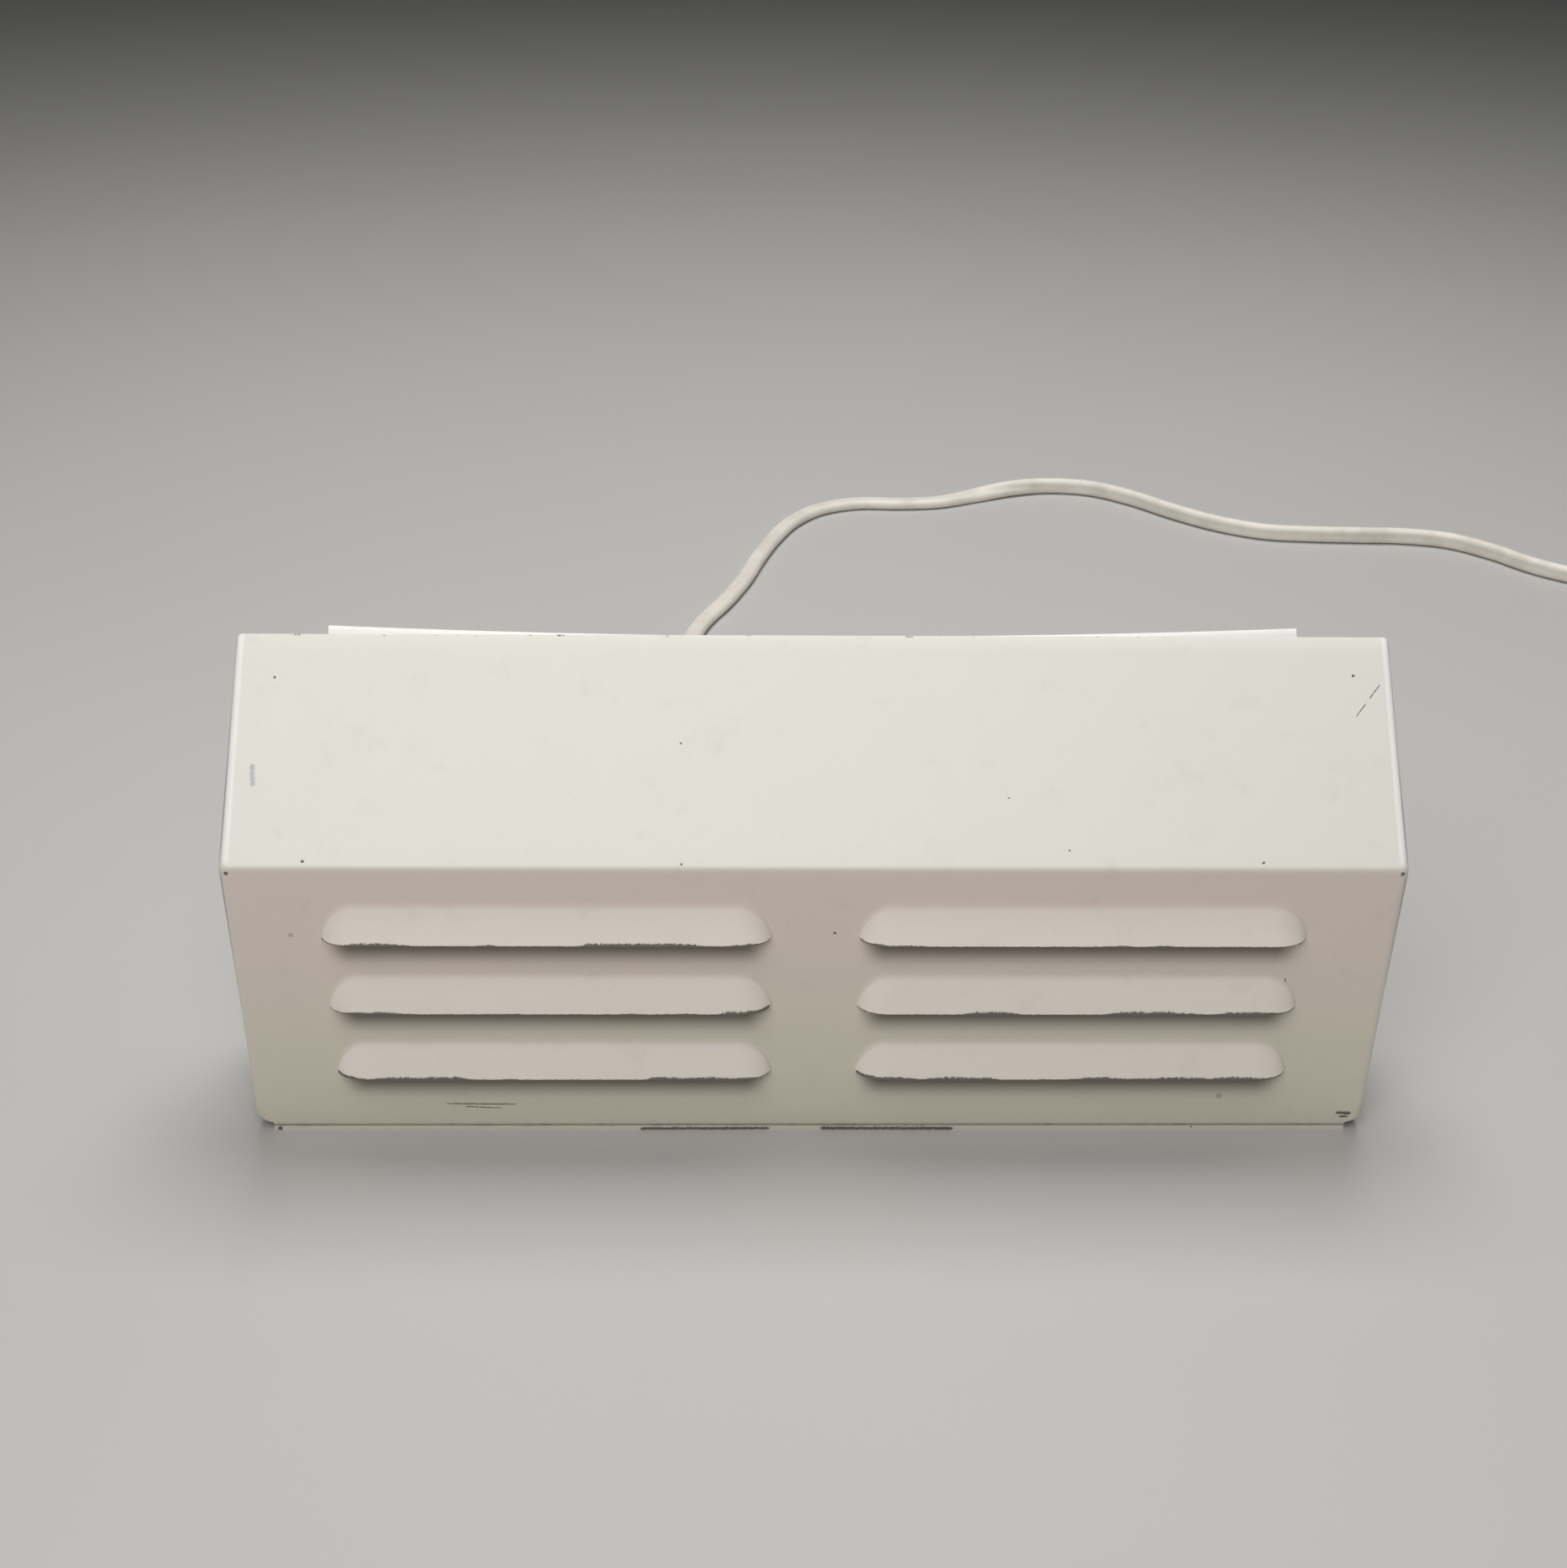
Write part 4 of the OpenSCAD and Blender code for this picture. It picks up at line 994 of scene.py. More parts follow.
@dataclass
class Plug:
    """The flat two-pin plug: a lofted body with grips, a bent sleeve and two pins."""

    finish: SoftPvc
    pin_length: float = 19.0
    pin_bare: float = 10.0
    pin_r: float = 2.0
    pin_side: float = 9.2
    boot_r: float = 1.95
    body_length: float = 24.0
    body_half: tuple[float, float] = (17.4, 6.9)
    neck_half: tuple[float, float] = (5.6, 5.5)
    tip_half: tuple[float, float] = (4.5, 4.3)
    tip_gap: float = 1.5
    waist: float = 0.8
    grip_depth: float = 0.35
    rib_depth: float = 0.5
    sleeve_lift: float = 1.5
    sides: int = 64

    def loft(self, middle: Array, face: float, end: float) -> Array:
        """Sections from the pins' face to the sleeve's tip.

        Each is a superellipse |x/a|^n + |z/b|^n = 1, with a, b and n eased from the
        wide face to the round sleeve, less the waves of the grips and ribs.

        Args:
            middle: The plug's middle; its X and Z are used.
            face: Y of the face that the pins stand on.
            end: Y of the sleeve's tip.

        Returns:
            A grid of points, sections by sides by 3.
        """
        s = np.linspace(0.0, 1.0, 130)
        y = face + (end - face) * s
        body = self.body_length / (end - face)
        share = np.clip(s / body, 0, 1)
        after = np.clip((s - body) / (1 - body), 0, 1)
        blend = ease((share - 0.35) / 0.65)
        (wide, tall), (neck_a, neck_b), (tip_a, tip_b) = self.body_half, self.neck_half, self.tip_half
        a = wide + (neck_a - wide) * blend - self.waist * np.exp(-((share - 0.35) / 0.12) ** 2)
        b = tall + (neck_b - tall) * blend
        a -= (neck_a - tip_a) * after
        b -= (neck_b - tip_b) * after
        power = 2.0 + 0.9 * (1 - blend)
        nose = ease(s / 0.025)
        a *= 0.93 + 0.07 * nose
        b *= 0.86 + 0.14 * nose
        on_grip = (share > 0.30) & (share < 0.88)
        b -= self.grip_depth * np.where(on_grip, 0.5 + 0.5 * np.cos(share * 58.0), 0.0)
        on_sleeve = (after > 0.08) & (after < 0.9)
        ribs = np.where(on_sleeve, 0.5 + 0.5 * np.cos(after * 34.0), 0.0)
        a -= self.rib_depth * ribs
        b -= self.rib_depth * ribs
        lift = self.sleeve_lift * ease((s - body) / (1 - body)) ** 1.4
        t = np.linspace(0, 2 * np.pi, self.sides, endpoint=False)[None, :]
        c, n = np.cos(t), np.sin(t)
        e = (2.0 / power)[:, None]
        return np.stack([
            middle[0] + a[:, None] * np.sign(c) * np.abs(c) ** e,
            np.repeat(y[:, None], self.sides, 1),
            middle[2] + lift[:, None] + b[:, None] * np.sign(n) * np.abs(n) ** e], -1)

    def pair(self, outline: list[tuple[float, float]], radius: float, steps: int,
             at: Array) -> Shell:
        """Two equal turned shapes, one each side of the plug's middle."""
        shell = Shell()
        rows = rounded(outline, radius, steps)
        for side in (-1, 1):
            centre = (at[0] + side * self.pin_side, at[1], at[2])
            shell.grid(turned(rows, centre, "y", 32), close_u=True)
        return shell

    def build(self) -> list[bpy.types.Object]:
        """Builds the moulding, the bare pins and the sleeves at their roots."""
        low, high = node_box("plug")
        middle = (low + high) / 2
        grid = self.loft(middle, low[1] + self.pin_length, high[1] - self.tip_gap)
        shell = Shell()
        shell.grid(grid, close_u=True)
        shell.outline(grid[0], flip=True)
        shell.outline(grid[-1])
        moulding = place("plug_moulding", shell.mesh("plug_moulding"), self.finish.build(),
                         "chassis", 50)
        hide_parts("plug")
        root = np.array([middle[0], low[1], middle[2]])
        end, start = self.pin_length + 0.5, self.pin_bare - 1.0
        pins = self.pair([(0, 0), (0, self.pin_r), (self.pin_bare, self.pin_r),
                          (self.pin_bare, 0)], 1.5, 6, root)
        boots = self.pair([(start, 0), (start, self.boot_r), (end, self.boot_r), (end, 0)],
                          0.3, 3, root)
        metal = place("plug_pins", pins.mesh("plug_pins"),
                      Metal("pin_nickel", (0.80, 0.78, 0.72), 0.24, (1, 0.1, 1)).build(),
                      "chassis")
        sleeves = place("plug_pin_sleeves", boots.mesh("plug_pin_sleeves"),
                        Moulded("pin_sleeve", srgb(70, 70, 72)).build(), "chassis")
        return [moulding, metal, sleeves]


@dataclass
class MainsCord:
    """The flat two-core cord with its strain relief, tie and plug."""

    path: CordPath = field(default_factory=CordPath)
    sides: int = 28
    pvc: SoftPvc = SoftPvc("cord_pvc", srgb(240, 235, 226), along=True)
    fittings: SoftPvc = SoftPvc("cord_fittings", srgb(236, 231, 221))

    def section(self) -> Array:
        """Half-width and half-height round the section: two round cores side by side.

        The height over a point is that of a circle round the nearer core, with the
        waist between the cores softened by s = sqrt(x^2 + 0.25).
        """
        a = np.linspace(0.0, 2 * np.pi, self.sides, endpoint=False) + np.pi / self.sides
        x = self.path.width / 2 * np.cos(a)
        core = self.path.thick / 2
        off = self.path.width / 2 - core
        s = np.sqrt(x**2 + 0.25)
        y = np.sqrt(np.clip(core**2 - np.clip(s - off, 0, None) ** 2, 0.05, None))
        waist = np.sqrt(core**2 - np.clip(off - s, 0, None) ** 2 * 0.9)
        return np.stack([x, np.sign(np.sin(a)) * np.minimum(y, waist)], 1)

    def tube(self, rings: Array) -> Array:
        """Carries the section along the route, turned as each ring says."""
        centre = rings[:, :3]
        along = unit(np.gradient(centre, axis=0))
        side = np.cross([0.0, 0.0, 1.0], along)
        side = unit(side)
        up = np.cross(along, side)
        turn = np.radians(rings[:, 3])[:, None]
        wide = side * np.cos(turn) + up * np.sin(turn)
        thin = up * np.cos(turn) - side * np.sin(turn)
        ring = self.section()
        return (centre[:, None] + wide[:, None] * ring[None, :, :1]
                + thin[:, None] * ring[None, :, 1:])

    def cord(self) -> tuple[bpy.types.Object, Array, float]:
        """Builds the cord with a map whose U runs along it in millimetres.

        Returns:
            The piece, its ring centres in metres and its length in metres.
        """
        rings = self.path.sampled()
        surface = self.tube(rings)
        shell = Shell()
        shell.grid(surface, close_u=True)
        shell.outline(surface[0], flip=True)
        shell.outline(surface[-1])
        mesh = shell.mesh("mains_cord_flex")
        steps = np.linalg.norm(np.diff(rings[:, :3], axis=0), axis=1)
        length = np.concatenate([[0], np.cumsum(steps)])
        self.map_along(mesh, rings[:, :3], length)
        piece = place("mains_cord_flex", mesh, self.pvc.build(), "chassis", 60)
        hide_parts("mains_cord", "cord_coil")
        return piece, rings[:, :3] * MM, float(length[-1]) * MM

    def map_along(self, mesh: bpy.types.Mesh, centres: Array, length: Array) -> None:
        """Writes the map: U is the length at the nearest ring, V the share round it.

        The tube's first vertices are its rings in order, so the ring and side of a
        vertex come from its number.
        """
        layer = mesh.uv_layers.new(name="surface")
        corner = np.empty(len(mesh.loops), dtype=np.int32)
        mesh.loops.foreach_get("vertex_index", corner)
        ring = np.minimum(corner // self.sides, len(centres) - 1)
        side = corner % self.sides
        around = np.minimum(side, self.sides - side) / self.sides
        layer.data.foreach_set("uv", np.stack([length[ring], around], 1).ravel())

    def build(self) -> None:
        flex, centres, length = self.cord()
        fittings = [StrainRelief(self.fittings).build(), CoilTie().build(),
                    *Plug(self.fittings).build()]
        log.info("cord: %.3f m", length)


# ---- cover --------------------------------------------------------------


@dataclass
class Cover:
    """The folded, louvred cover sheet."""

    half: float = 150.0
    sheet: float = 1.0
    side_r: float = 2.0
    bend_r: float = 2.5
    foot_r: float = 1.5
    front: float = -22.0
    back: float = 22.0
    bend_z: float = 84.0
    foot_z: float = 1.5
    flange_half: float = 145.5
    flange_depth: float = 6.0
    corner_lift: float = 2.4
    tip: float = 0.4
    column_x: float = 68.75
    louvre_len: float = 115.0
    louvre_h: float = 9.8
    louvre_out: float = 5.0
    louvre_end: float = 9.0
    lips: tuple[float, ...] = (21.2, 42.5, 63.8)
    slots: tuple[float, ...] = (24.0, 100.0)
    slot_w: float = 4.6
    slot_y: float = 15.0
    # Painted light on the front face: its tint at the top, its lighter hoods and its tint at the
    # foot.
    front_top_painted_light: Colour = srgb(232, 218, 210)
    hood_painted_light: Colour = srgb(244, 236, 227)
    front_foot_painted_light: Colour = srgb(224, 219, 202)
    # Painted shadow: the dark colour laid beneath each lip.
    dust: Colour = srgb(96, 82, 74)
    # Painted highlight along the slope's side bends.
    bend_painted_highlight: Colour = srgb(250, 250, 247)

    def columns(self) -> Array:
        """X positions across the flat of the cover, closer together at louvre ends."""
        inner = self.column_x - self.louvre_len / 2
        outer = self.column_x + self.louvre_len / 2
        end = self.louvre_end + 1.5
        right = np.concatenate([
            np.linspace(0, inner - 1.5, 5)[:-1],
            np.linspace(inner - 1.5, inner + end, 22)[:-1],
            np.linspace(inner + end, outer - end, 74)[:-1],
            np.linspace(outer - end, outer + 1.5, 22)[:-1],
            np.linspace(outer + 1.5, self.flange_half, 14)])
        return np.concatenate([-right[:0:-1], right])

    def hood(self, x: Array, z: Array) -> Array:
        """How far the louvres' hoods stand out at each point.

        Above a lip the hood falls in a straight line to nothing at its top, 1 - t with
        its foot blended in. Towards each end its reach shrinks as sqrt(1 - e^2.2) and
        its height as (1 - e^2.1)^0.65, which leaves a pointed tip level with the lip.
        """
        out = np.zeros(np.broadcast(x, z).shape)
        for side in (-1, 1):
            away = np.abs(x - side * self.column_x) - (self.louvre_len / 2 - self.louvre_end)
            e = np.clip(away / self.louvre_end, 0.0, 1.0)
            reach = np.sqrt(1.0 - e**2.2)
            tall = np.maximum(self.louvre_h * (1.0 - e**2.1) ** 0.65, 1e-6)
            for lip in self.lips:
                t = (z - lip) / tall
                shape = 0.5 * ((1 - t) + np.sqrt((1 - t) ** 2 + 0.004)) * (t < 1.25)
                inside = (t > -1e-6) & (e < 1.0)
                out = np.maximum(out, np.where(inside, reach * shape, 0.0))
        settle = np.where(out < 0.03, out * 0.3, out)
        return self.louvre_out * np.minimum(settle, 1.0)

    def ragged(self, x: Array) -> Array:
        """Small steps along a lip's edge, where the press tore the sheet."""
        wave = np.sin(x * 2.9) + np.sin(x * 4.7 + 1.3) + np.sin(x * 7.3 + 0.6)
        patch = ease((np.sin(x * 0.23 + 0.9) + np.sin(x * 0.11) - 0.35) / 0.6)
        return 0.07 * wave * patch

    def skin(self, flat_x: Array, inward: Array, y: Array, z: Array, normal: Array) -> Array:
        """Points of the bent sheet: a profile point moved inward from its outside.

        Args:
            flat_x: X of each column.
            inward: How far each column lies behind the outside.
            y: Profile's Y for each row.
            z: Profile's Z for each row.
            normal: Outward normal of each row, as (Y, Z).

        Returns:
            Points, rows by columns by 3.
        """
        shape = (len(y), len(flat_x))
        flare = self.tip * np.exp(-np.clip(z - self.bend_z + 0.5, 0, None) / 5.0) * (
            z > self.bend_z - 1.2)
        grid = np.empty((*shape, 3))
        grid[..., 0] = flat_x + np.sign(flat_x) * flare[:, None] * np.clip(
            inward / self.side_r, 0, 1)
        grid[..., 1] = y[:, None] - inward * normal[:, :1]
        grid[..., 2] = z[:, None] - inward * normal[:, 1:]
        return grid

    def bend_columns(self) -> tuple[Array, Array]:
        """The sides' columns: the rest of the flat, then a quarter turn inward."""
        flat = np.linspace(self.flange_half, self.half - self.side_r, 4)
        a = np.linspace(0, np.pi / 2, 7)[1:]
        x = np.concatenate([flat, self.half - self.side_r + self.side_r * np.sin(a)])
        inward = np.concatenate([np.zeros(4), self.side_r * (1 - np.cos(a))])
        return x, inward

    def fold(self, steps: int = 9) -> tuple[Array, Array, Array]:
        """The bend between front and slope: an arc of bend_r through 45 degrees."""
        a = np.radians(np.linspace(180, 135, steps))
        y = self.front + self.bend_r + self.bend_r * np.cos(a)
        z = self.bend_z - self.bend_r * math.tan(math.radians(22.5)) + self.bend_r * np.sin(a)
        return y, z, np.stack([np.cos(a), np.sin(a)], 1)

    def rows(self) -> list[tuple[Array, Array, Array]]:
        """Strips of the front, one up to each lip and one on to the back edge.

        Each strip is its rows' Y, Z and outward normal.
        """
        strips = []
        foot = self.foot_z + self.foot_r
        start = foot
        for lip in self.lips:
            low = start + self.louvre_h + 1.0 if start > foot else start
            hood = np.linspace(start, low, 19)[:-1] if start > foot else np.array([])
            z = np.concatenate([hood, np.linspace(low, lip, 5)])
            strips.append((np.full_like(z, self.front), z, np.tile([-1.0, 0.0], (len(z), 1))))
            start = lip
        fy, fz, fn = self.fold()
        hood = np.linspace(start, start + self.louvre_h + 1.0, 19)[:-1]
        face = np.concatenate([hood, np.linspace(start + self.louvre_h + 1.0, fz[0], 4)[:-1]])
        rise = np.linspace(0, 1, 14)[1:]
        sy = fy[-1] + (self.back - fy[-1]) * rise
        sz = fz[-1] + (self.bend_z + self.back - self.front - fz[-1]) * rise
        y = np.concatenate([np.full_like(face, self.front), fy, sy])
        z = np.concatenate([face, fz, sz])
        n = np.vstack([np.tile([-1.0, 0.0], (len(face), 1)), fn, np.tile(fn[-1], (len(sy), 1))])
        strips.append((y, z, n))
        return strips

    def trim_back(self, grid: Array, inward: Array, y: Array) -> Array:
        """Slides the slope's bent columns down so that the back edge stays upright."""
        share = np.clip((y - self.front) / (self.back - self.front), 0, 1)[:, None] ** 3
        shift = share * inward[None, :]
        grid = grid.copy()
        grid[..., 1] -= shift / ROOT2
        grid[..., 2] -= shift / ROOT2
        return grid

    def lift_corner(self, grid: Array) -> Array:
        """Raises the sheet's lower corners beside the bottom flange in a curve."""
        foot = self.foot_z + self.foot_r
        out = np.clip((np.abs(grid[..., 0]) - self.flange_half) / 4.5, 0, 1)
        rise = self.corner_lift * out**1.4
        grid = grid.copy()
        grid[..., 2] += rise * np.clip(1 - (grid[..., 2] - foot) / 14.0, 0, 1)
        return grid

    def surface(self) -> Shell:
        """The whole outside of the sheet, split along the louvres' lips."""
        shell = Shell()
        x = self.columns()
        flat = np.zeros_like(x)
        a = np.linspace(-np.pi / 2, -np.pi, 6)
        fy = np.concatenate([np.linspace(self.front + self.flange_depth, self.front + self.foot_r, 3),
                             self.front + self.foot_r + self.foot_r * np.cos(a[1:])])
        fz = np.concatenate([np.full(3, self.foot_z),
                             self.foot_z + self.foot_r + self.foot_r * np.sin(a[1:])])
        down = np.tile([0.0, -1.0], (len(fy), 1))
        shell.grid(self.skin(x, flat, fy, fz, down))
        side_x, inward = self.bend_columns()
        ends: dict[int, list[Array]] = {-1: [], 1: []}
        for y, z, n in self.rows():
            grid = self.skin(x, flat, y, z, n)
            on_face = np.abs(n[:, 0] + 1) < 1e-9
            torn = (np.abs(z[:, None] - z[0]) < 1e-9) & on_face[:, None]
            height = np.where(on_face[:, None], self.hood(x[None, :], z[:, None]), 0.0)
            if z[-1] in self.lips:
                height[-1] = 0.0
            grid[..., 1] -= height
            if z[0] in self.lips:
                grid[..., 2] += np.where(torn & (height > 0.6), self.ragged(x + z[0])[None, :], 0.0)
            shell.grid(grid)
            for side in (-1, 1):
                bent = self.skin(side * side_x, inward, y, z, n)
                bent = self.lift_corner(self.trim_back(bent, inward, y))
                shell.grid(bent, flip=side < 0)
                ends[side].append(bent[:, -1])
        for side in (-1, 1):
            self.flanges(shell, np.vstack([e if i == 0 else e[1:] for i, e in enumerate(ends[side])]),
                         side)
        return shell

    def slot_points(self, x: float, z: float) -> Array:
        """The open-ended screw slot's edge, from its upper end round and out at the lower."""
        a = np.linspace(-np.pi / 2, -3 * np.pi / 2, 13)
        y = self.slot_y + self.slot_w / 2 * np.cos(a)
        edge = np.stack([np.full_like(y, x), y, z + self.slot_w / 2 * np.sin(a)], 1)
        return np.vstack([[x, self.back, z - self.slot_w / 2], edge,
                          [x, self.back, z + self.slot_w / 2]])[::-1]

    def flanges(self, shell: Shell, edge: Array, side: int) -> None:
        """The two flat flanges of one side, parted by a fine seam level with the bend.

        Args:
            shell: Where they are added.
            edge: Last column of the side bend, from the foot to the back edge.
            side: -1 for the left, 1 for the right.
        """
        x = side * self.half
        seam = self.fold()[1][0]
        low = edge[edge[:, 2] < seam + 1e-6]
        high = edge[edge[:, 2] > seam - 1e-6]
        under = seam - 0.25
        low[-1, 2] = under
        front = np.vstack([
            low, [[x, self.back, under]],
            self.slot_points(x, self.slots[0]),
            [[x, self.back, 2.4]], [[x, self.front + 12.0, 2.4]]])
        rear = np.vstack([
            high[:-1], [[x, self.back, high[-1, 2]]],
            self.slot_points(x, self.slots[1]),
            [[x, self.back, seam]]])
        for ring in (front, rear):
            shell.outline(ring, flip=side > 0)

    def lip_pitch(self) -> float:
        """From one lip to the next."""
        return self.lips[1] - self.lips[0]

    def chips(self, g: Graph) -> object:
        """Bare metal on the torn lips and on folds worn by rubbing; along each lip the dark band is
        also a painted shadow at its edge.

        A lip's line repeats every pitch, so its share of the height is taken modulo
        the pitch, ten pitches up to stay positive, and only what stands out in front
        of the face counts.
        """
        _, y, z = g.split(g.mm())
        pitch = self.lip_pitch()
        # Along each lip the ragged dark band is bare chips and also a painted shadow at the lip's
        # torn edge.
        above = g.math("MODULO", g.plus(z, 10 * pitch - self.lips[0] + 2.0), pitch)
        near = g.magnitude(g.minus(above, 2.0))
        rag = g.math("POWER", g.noise(1.7, 4.0, 0.8), 1.6)
        width = g.band(g.noise(0.04, 2.0), 0.46, 0.60, 0.50, 2.1)
        torn = g.math("LESS_THAN", near, g.times(rag, width))
        proud = g.math("LESS_THAN", y, self.front - 1.2)
        lip = g.times(torn, proud)
        bend = g.band(g.magnitude(g.minus(z, self.bend_z - 0.7)), 2.2, 0.2)
        worn = g.band(g.noise(0.6, 5.0, 0.8), 0.70, 0.76)
        fold = g.times(g.times(bend, worn), 0.55)
        foot = g.band(z, 2.6, 1.8)
        rub = g.band(g.noise(0.25, 4.0, 0.7), 0.52, 0.60)
        back = g.band(g.minus(y, self.back), -0.55, -0.15)
        edge = g.band(g.noise(0.22, 4.0, 0.75), 0.60, 0.66)
        return g.most([lip, fold, g.times(g.times(foot, rub), 0.7), g.times(back, edge)])

    def shade(self, g: Graph, colour: object) -> object:
        """The front's painted light: pinker than the slope at its top and yellower at its foot, with
        lighter hoods, a painted shadow under the lips and a painted highlight on the slope's side
        bends.
        """
        x, y, z = g.split(g.mm())
        # Painted light: the front face is pinker at the top and yellower towards the foot.
        cloudy = g.times(g.noise(0.02, 3.0, 0.6), 24.0)
        down = g.band(g.plus(z, cloudy), 86.0, 30.0)
        front = g.mix(down, self.front_top_painted_light, self.front_foot_painted_light)
        # Painted light: the proud hoods are painted lighter than the face.
        hood = g.band(y, self.front - 0.1, self.front - 0.9)
        pitch = self.lip_pitch()
        # Painted shadow: a dark band beneath each lip, fading over about 10 mm downwards along the
        # louvres' length.
        below = g.math("MODULO", g.minus(10 * pitch + self.lips[0], z), pitch)
        across = g.magnitude(g.minus(g.magnitude(x), self.column_x))
        under = g.times(g.band(below, 10.6, 2.4),
                        g.band(across, self.louvre_len / 2, self.louvre_len / 2 - 7.0))
        under = g.times(g.math("POWER", under, 1.1), g.band(z, 66.0, 64.0))
        front = g.wash(front, self.dust, under, 0.85)
        front = g.mix(hood, front, self.hood_painted_light)
        # The front face takes the painted light and shade in place of the paint.
        ahead = g.times(g.band(z, self.bend_z + 1.5, self.bend_z - 2.5),
                        g.band(g.magnitude(x), self.half - 0.2, self.half - 2.0))
        # Painted highlight: a light strip on the side bends of the slope.
        bend = g.magnitude(x)
        bend_highlight = g.times(g.band(bend, self.half - 2.8, self.half - 1.9),
                         g.band(bend, self.half - 0.35, self.half - 0.8))
        bend_highlight = g.times(bend_highlight, g.band(z, self.bend_z, self.bend_z + 2.0))
        colour = g.wash(colour, self.bend_painted_highlight, bend_highlight, 0.85)
        return g.mix(ahead, colour, front)

    def on_slope(self, x: float, share: float) -> Point:
        """A point of the slope: share 0 at the bend, 1 at the back edge."""
        depth = self.back - self.front
        return (x, self.front + depth * share, self.bend_z + depth * share)

    def on_front(self, x: float, z: float) -> Point:
        """A point of the front face."""
        return (x, self.front, z)

    def wear(self) -> tuple[tuple[Mark, ...], tuple[Mark, ...]]:
        """Bare spots and soft stains: dots, scratches, chips and scuffs."""
        bare = (
            Mark(self.on_slope(-139.0, 0.81), 0.34), Mark(self.on_slope(-34.5, 0.53), 0.26),
            Mark(self.on_slope(139.5, 0.83), 0.36), Mark(self.on_slope(49.0, 0.30), 0.22),
            Mark(self.on_slope(64.0, 0.08), 0.24), Mark(self.on_slope(-129.0, 0.03), 0.36),
            Mark(self.on_slope(-34.0, 0.02), 0.28), Mark(self.on_slope(113.0, 0.03), 0.34),
            Mark(self.on_front(-148.2, 82.6), 0.5), Mark(self.on_front(148.4, 82.8), 0.5),
            Mark(self.on_front(5.0, 64.8), 0.34), Mark(self.on_front(57.5, 65.6), 0.35),
            Mark(self.on_front(78.5, 65.2), 0.35), Mark(self.on_front(-15.2, 63.2), 0.75),
            Mark(self.on_front(143.0, 6.2), 0.42, self.on_front(146.2, 6.0)),
            Mark(self.on_front(144.0, 4.9), 0.30, self.on_front(145.6, 4.9)),
            Mark(self.on_front(-98.0, 9.4), 0.15, self.on_front(-80.0, 9.2)),
            Mark(self.on_front(-93.0, 8.4), 0.13, self.on_front(-84.0, 7.9)),
            Mark(self.on_front(122.8, 50.5), 0.16, self.on_front(124.8, 42.6)),
            Mark(self.on_slope(146.2, 0.79), 0.12, self.on_slope(143.4, 0.733)),
            Mark(self.on_slope(142.2, 0.708), 0.10, self.on_slope(139.6, 0.655)))
        stains = (
            Mark(self.on_slope(-143.2, 0.43), 0.50, self.on_slope(-142.8, 0.35)),
            Mark(self.on_front(-134.0, 64.0), 0.6), Mark(self.on_front(110.0, 12.0), 0.8))
        return bare, stains

    def paint(self) -> Enamel:
        """Off-white enamel, with the cover's own wear and its painted light."""
        bare, stains = self.wear()
        return Enamel("cover_enamel", srgb(229, 228, 221), srgb(229, 224, 208), rough=0.40,
                      marks=bare, stains=stains, chips=self.chips, shade=self.shade)

    def build(self) -> None:
        """Builds the cover as one sheet with rounded edges."""
        mesh = self.surface().mesh("cover_sheet", merge=0.02)
        mesh = finished(mesh, thickness=self.sheet, bevel=0.18)
        piece = place("cover_sheet", mesh, self.paint().build(), "cover", 32)
        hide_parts("cover")


@dataclass
class RearSheet:
    """The thin white sheet behind the housing, bowed back at its ends."""

    lean_height: float = 10.5
    lean: float = 38.0
    thickness: float = 0.8
    dip: float = 0.9
    paint: Enamel = Enamel("panel_enamel", srgb(252, 251, 249), srgb(250, 249, 245),
                           rough=0.30, dirt=0.25)

    def profile(self, foot: float, top: float) -> tuple[Array, Array, Array]:
        """Y, Z and turn of the middle of the sheet, going up.

        Below the lean the sheet is upright. Above, its turn a grows evenly with the
        length s, so y and z add up sin a and cos a over the steps of s.
        """
        s = np.concatenate([np.linspace(0, top - foot - self.lean_height, 12)[:-1],
                            np.linspace(top - foot - self.lean_height, top - foot, 14)])
        turn = np.radians(self.lean) * np.clip(
            (s - s[-1] + self.lean_height) / self.lean_height, 0, 1)
        step = np.diff(s, prepend=s[0])
        return np.cumsum(step * np.sin(turn)), foot + np.cumsum(step * np.cos(turn)), turn

    def build(self) -> None:
        """Builds the sheet with its bow, y = sag (x / half)^2, and a rounded rim.

        Its upper edge sinks by dip (1 - (x / half)^2) towards the middle.
        """
        low, high = node_box("rear_panel")
        half = high[0]
        sag = high[1] - low[1] - self.thickness
        back, up, turn = self.profile(low[2], high[2])
        a = np.linspace(0, np.pi, 5)[1:-1]
        wall = self.thickness / 2
        cap_y, cap_z = wall * np.cos(a), wall * np.sin(a)
        contour_y = np.concatenate([
            back + wall * np.cos(turn), back[-1] + cap_y * math.cos(turn[-1])
            + cap_z * math.sin(turn[-1]), (back - wall * np.cos(turn))[::-1], -cap_y])
        contour_z = np.concatenate([
            up - wall * np.sin(turn), up[-1] - cap_y * math.sin(turn[-1])
            + cap_z * math.cos(turn[-1]), (up + wall * np.sin(turn))[::-1], up[0] - cap_z])
        x = np.linspace(-half, half, 61)
        grid = np.empty((len(x), len(contour_y), 3))
        grid[..., 0] = x[:, None]
        grid[..., 1] = low[1] + wall + sag * (x[:, None] / half) ** 2 + contour_y[None, :]
        rise = np.clip((contour_z - contour_z.max()) / self.lean_height + 1, 0, 1)
        grid[..., 2] = contour_z[None, :] - self.dip * rise * (1 - (x[:, None] / half) ** 2)
        shell = Shell()
        shell.grid(grid, close_u=True)
        shell.outline(grid[0])
        shell.outline(grid[-1], flip=True)
        piece = place("rear_sheet", shell.mesh("rear_sheet"), self.paint.build(), "chassis")
        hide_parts("rear_panel")


# ---- inside -------------------------------------------------------------


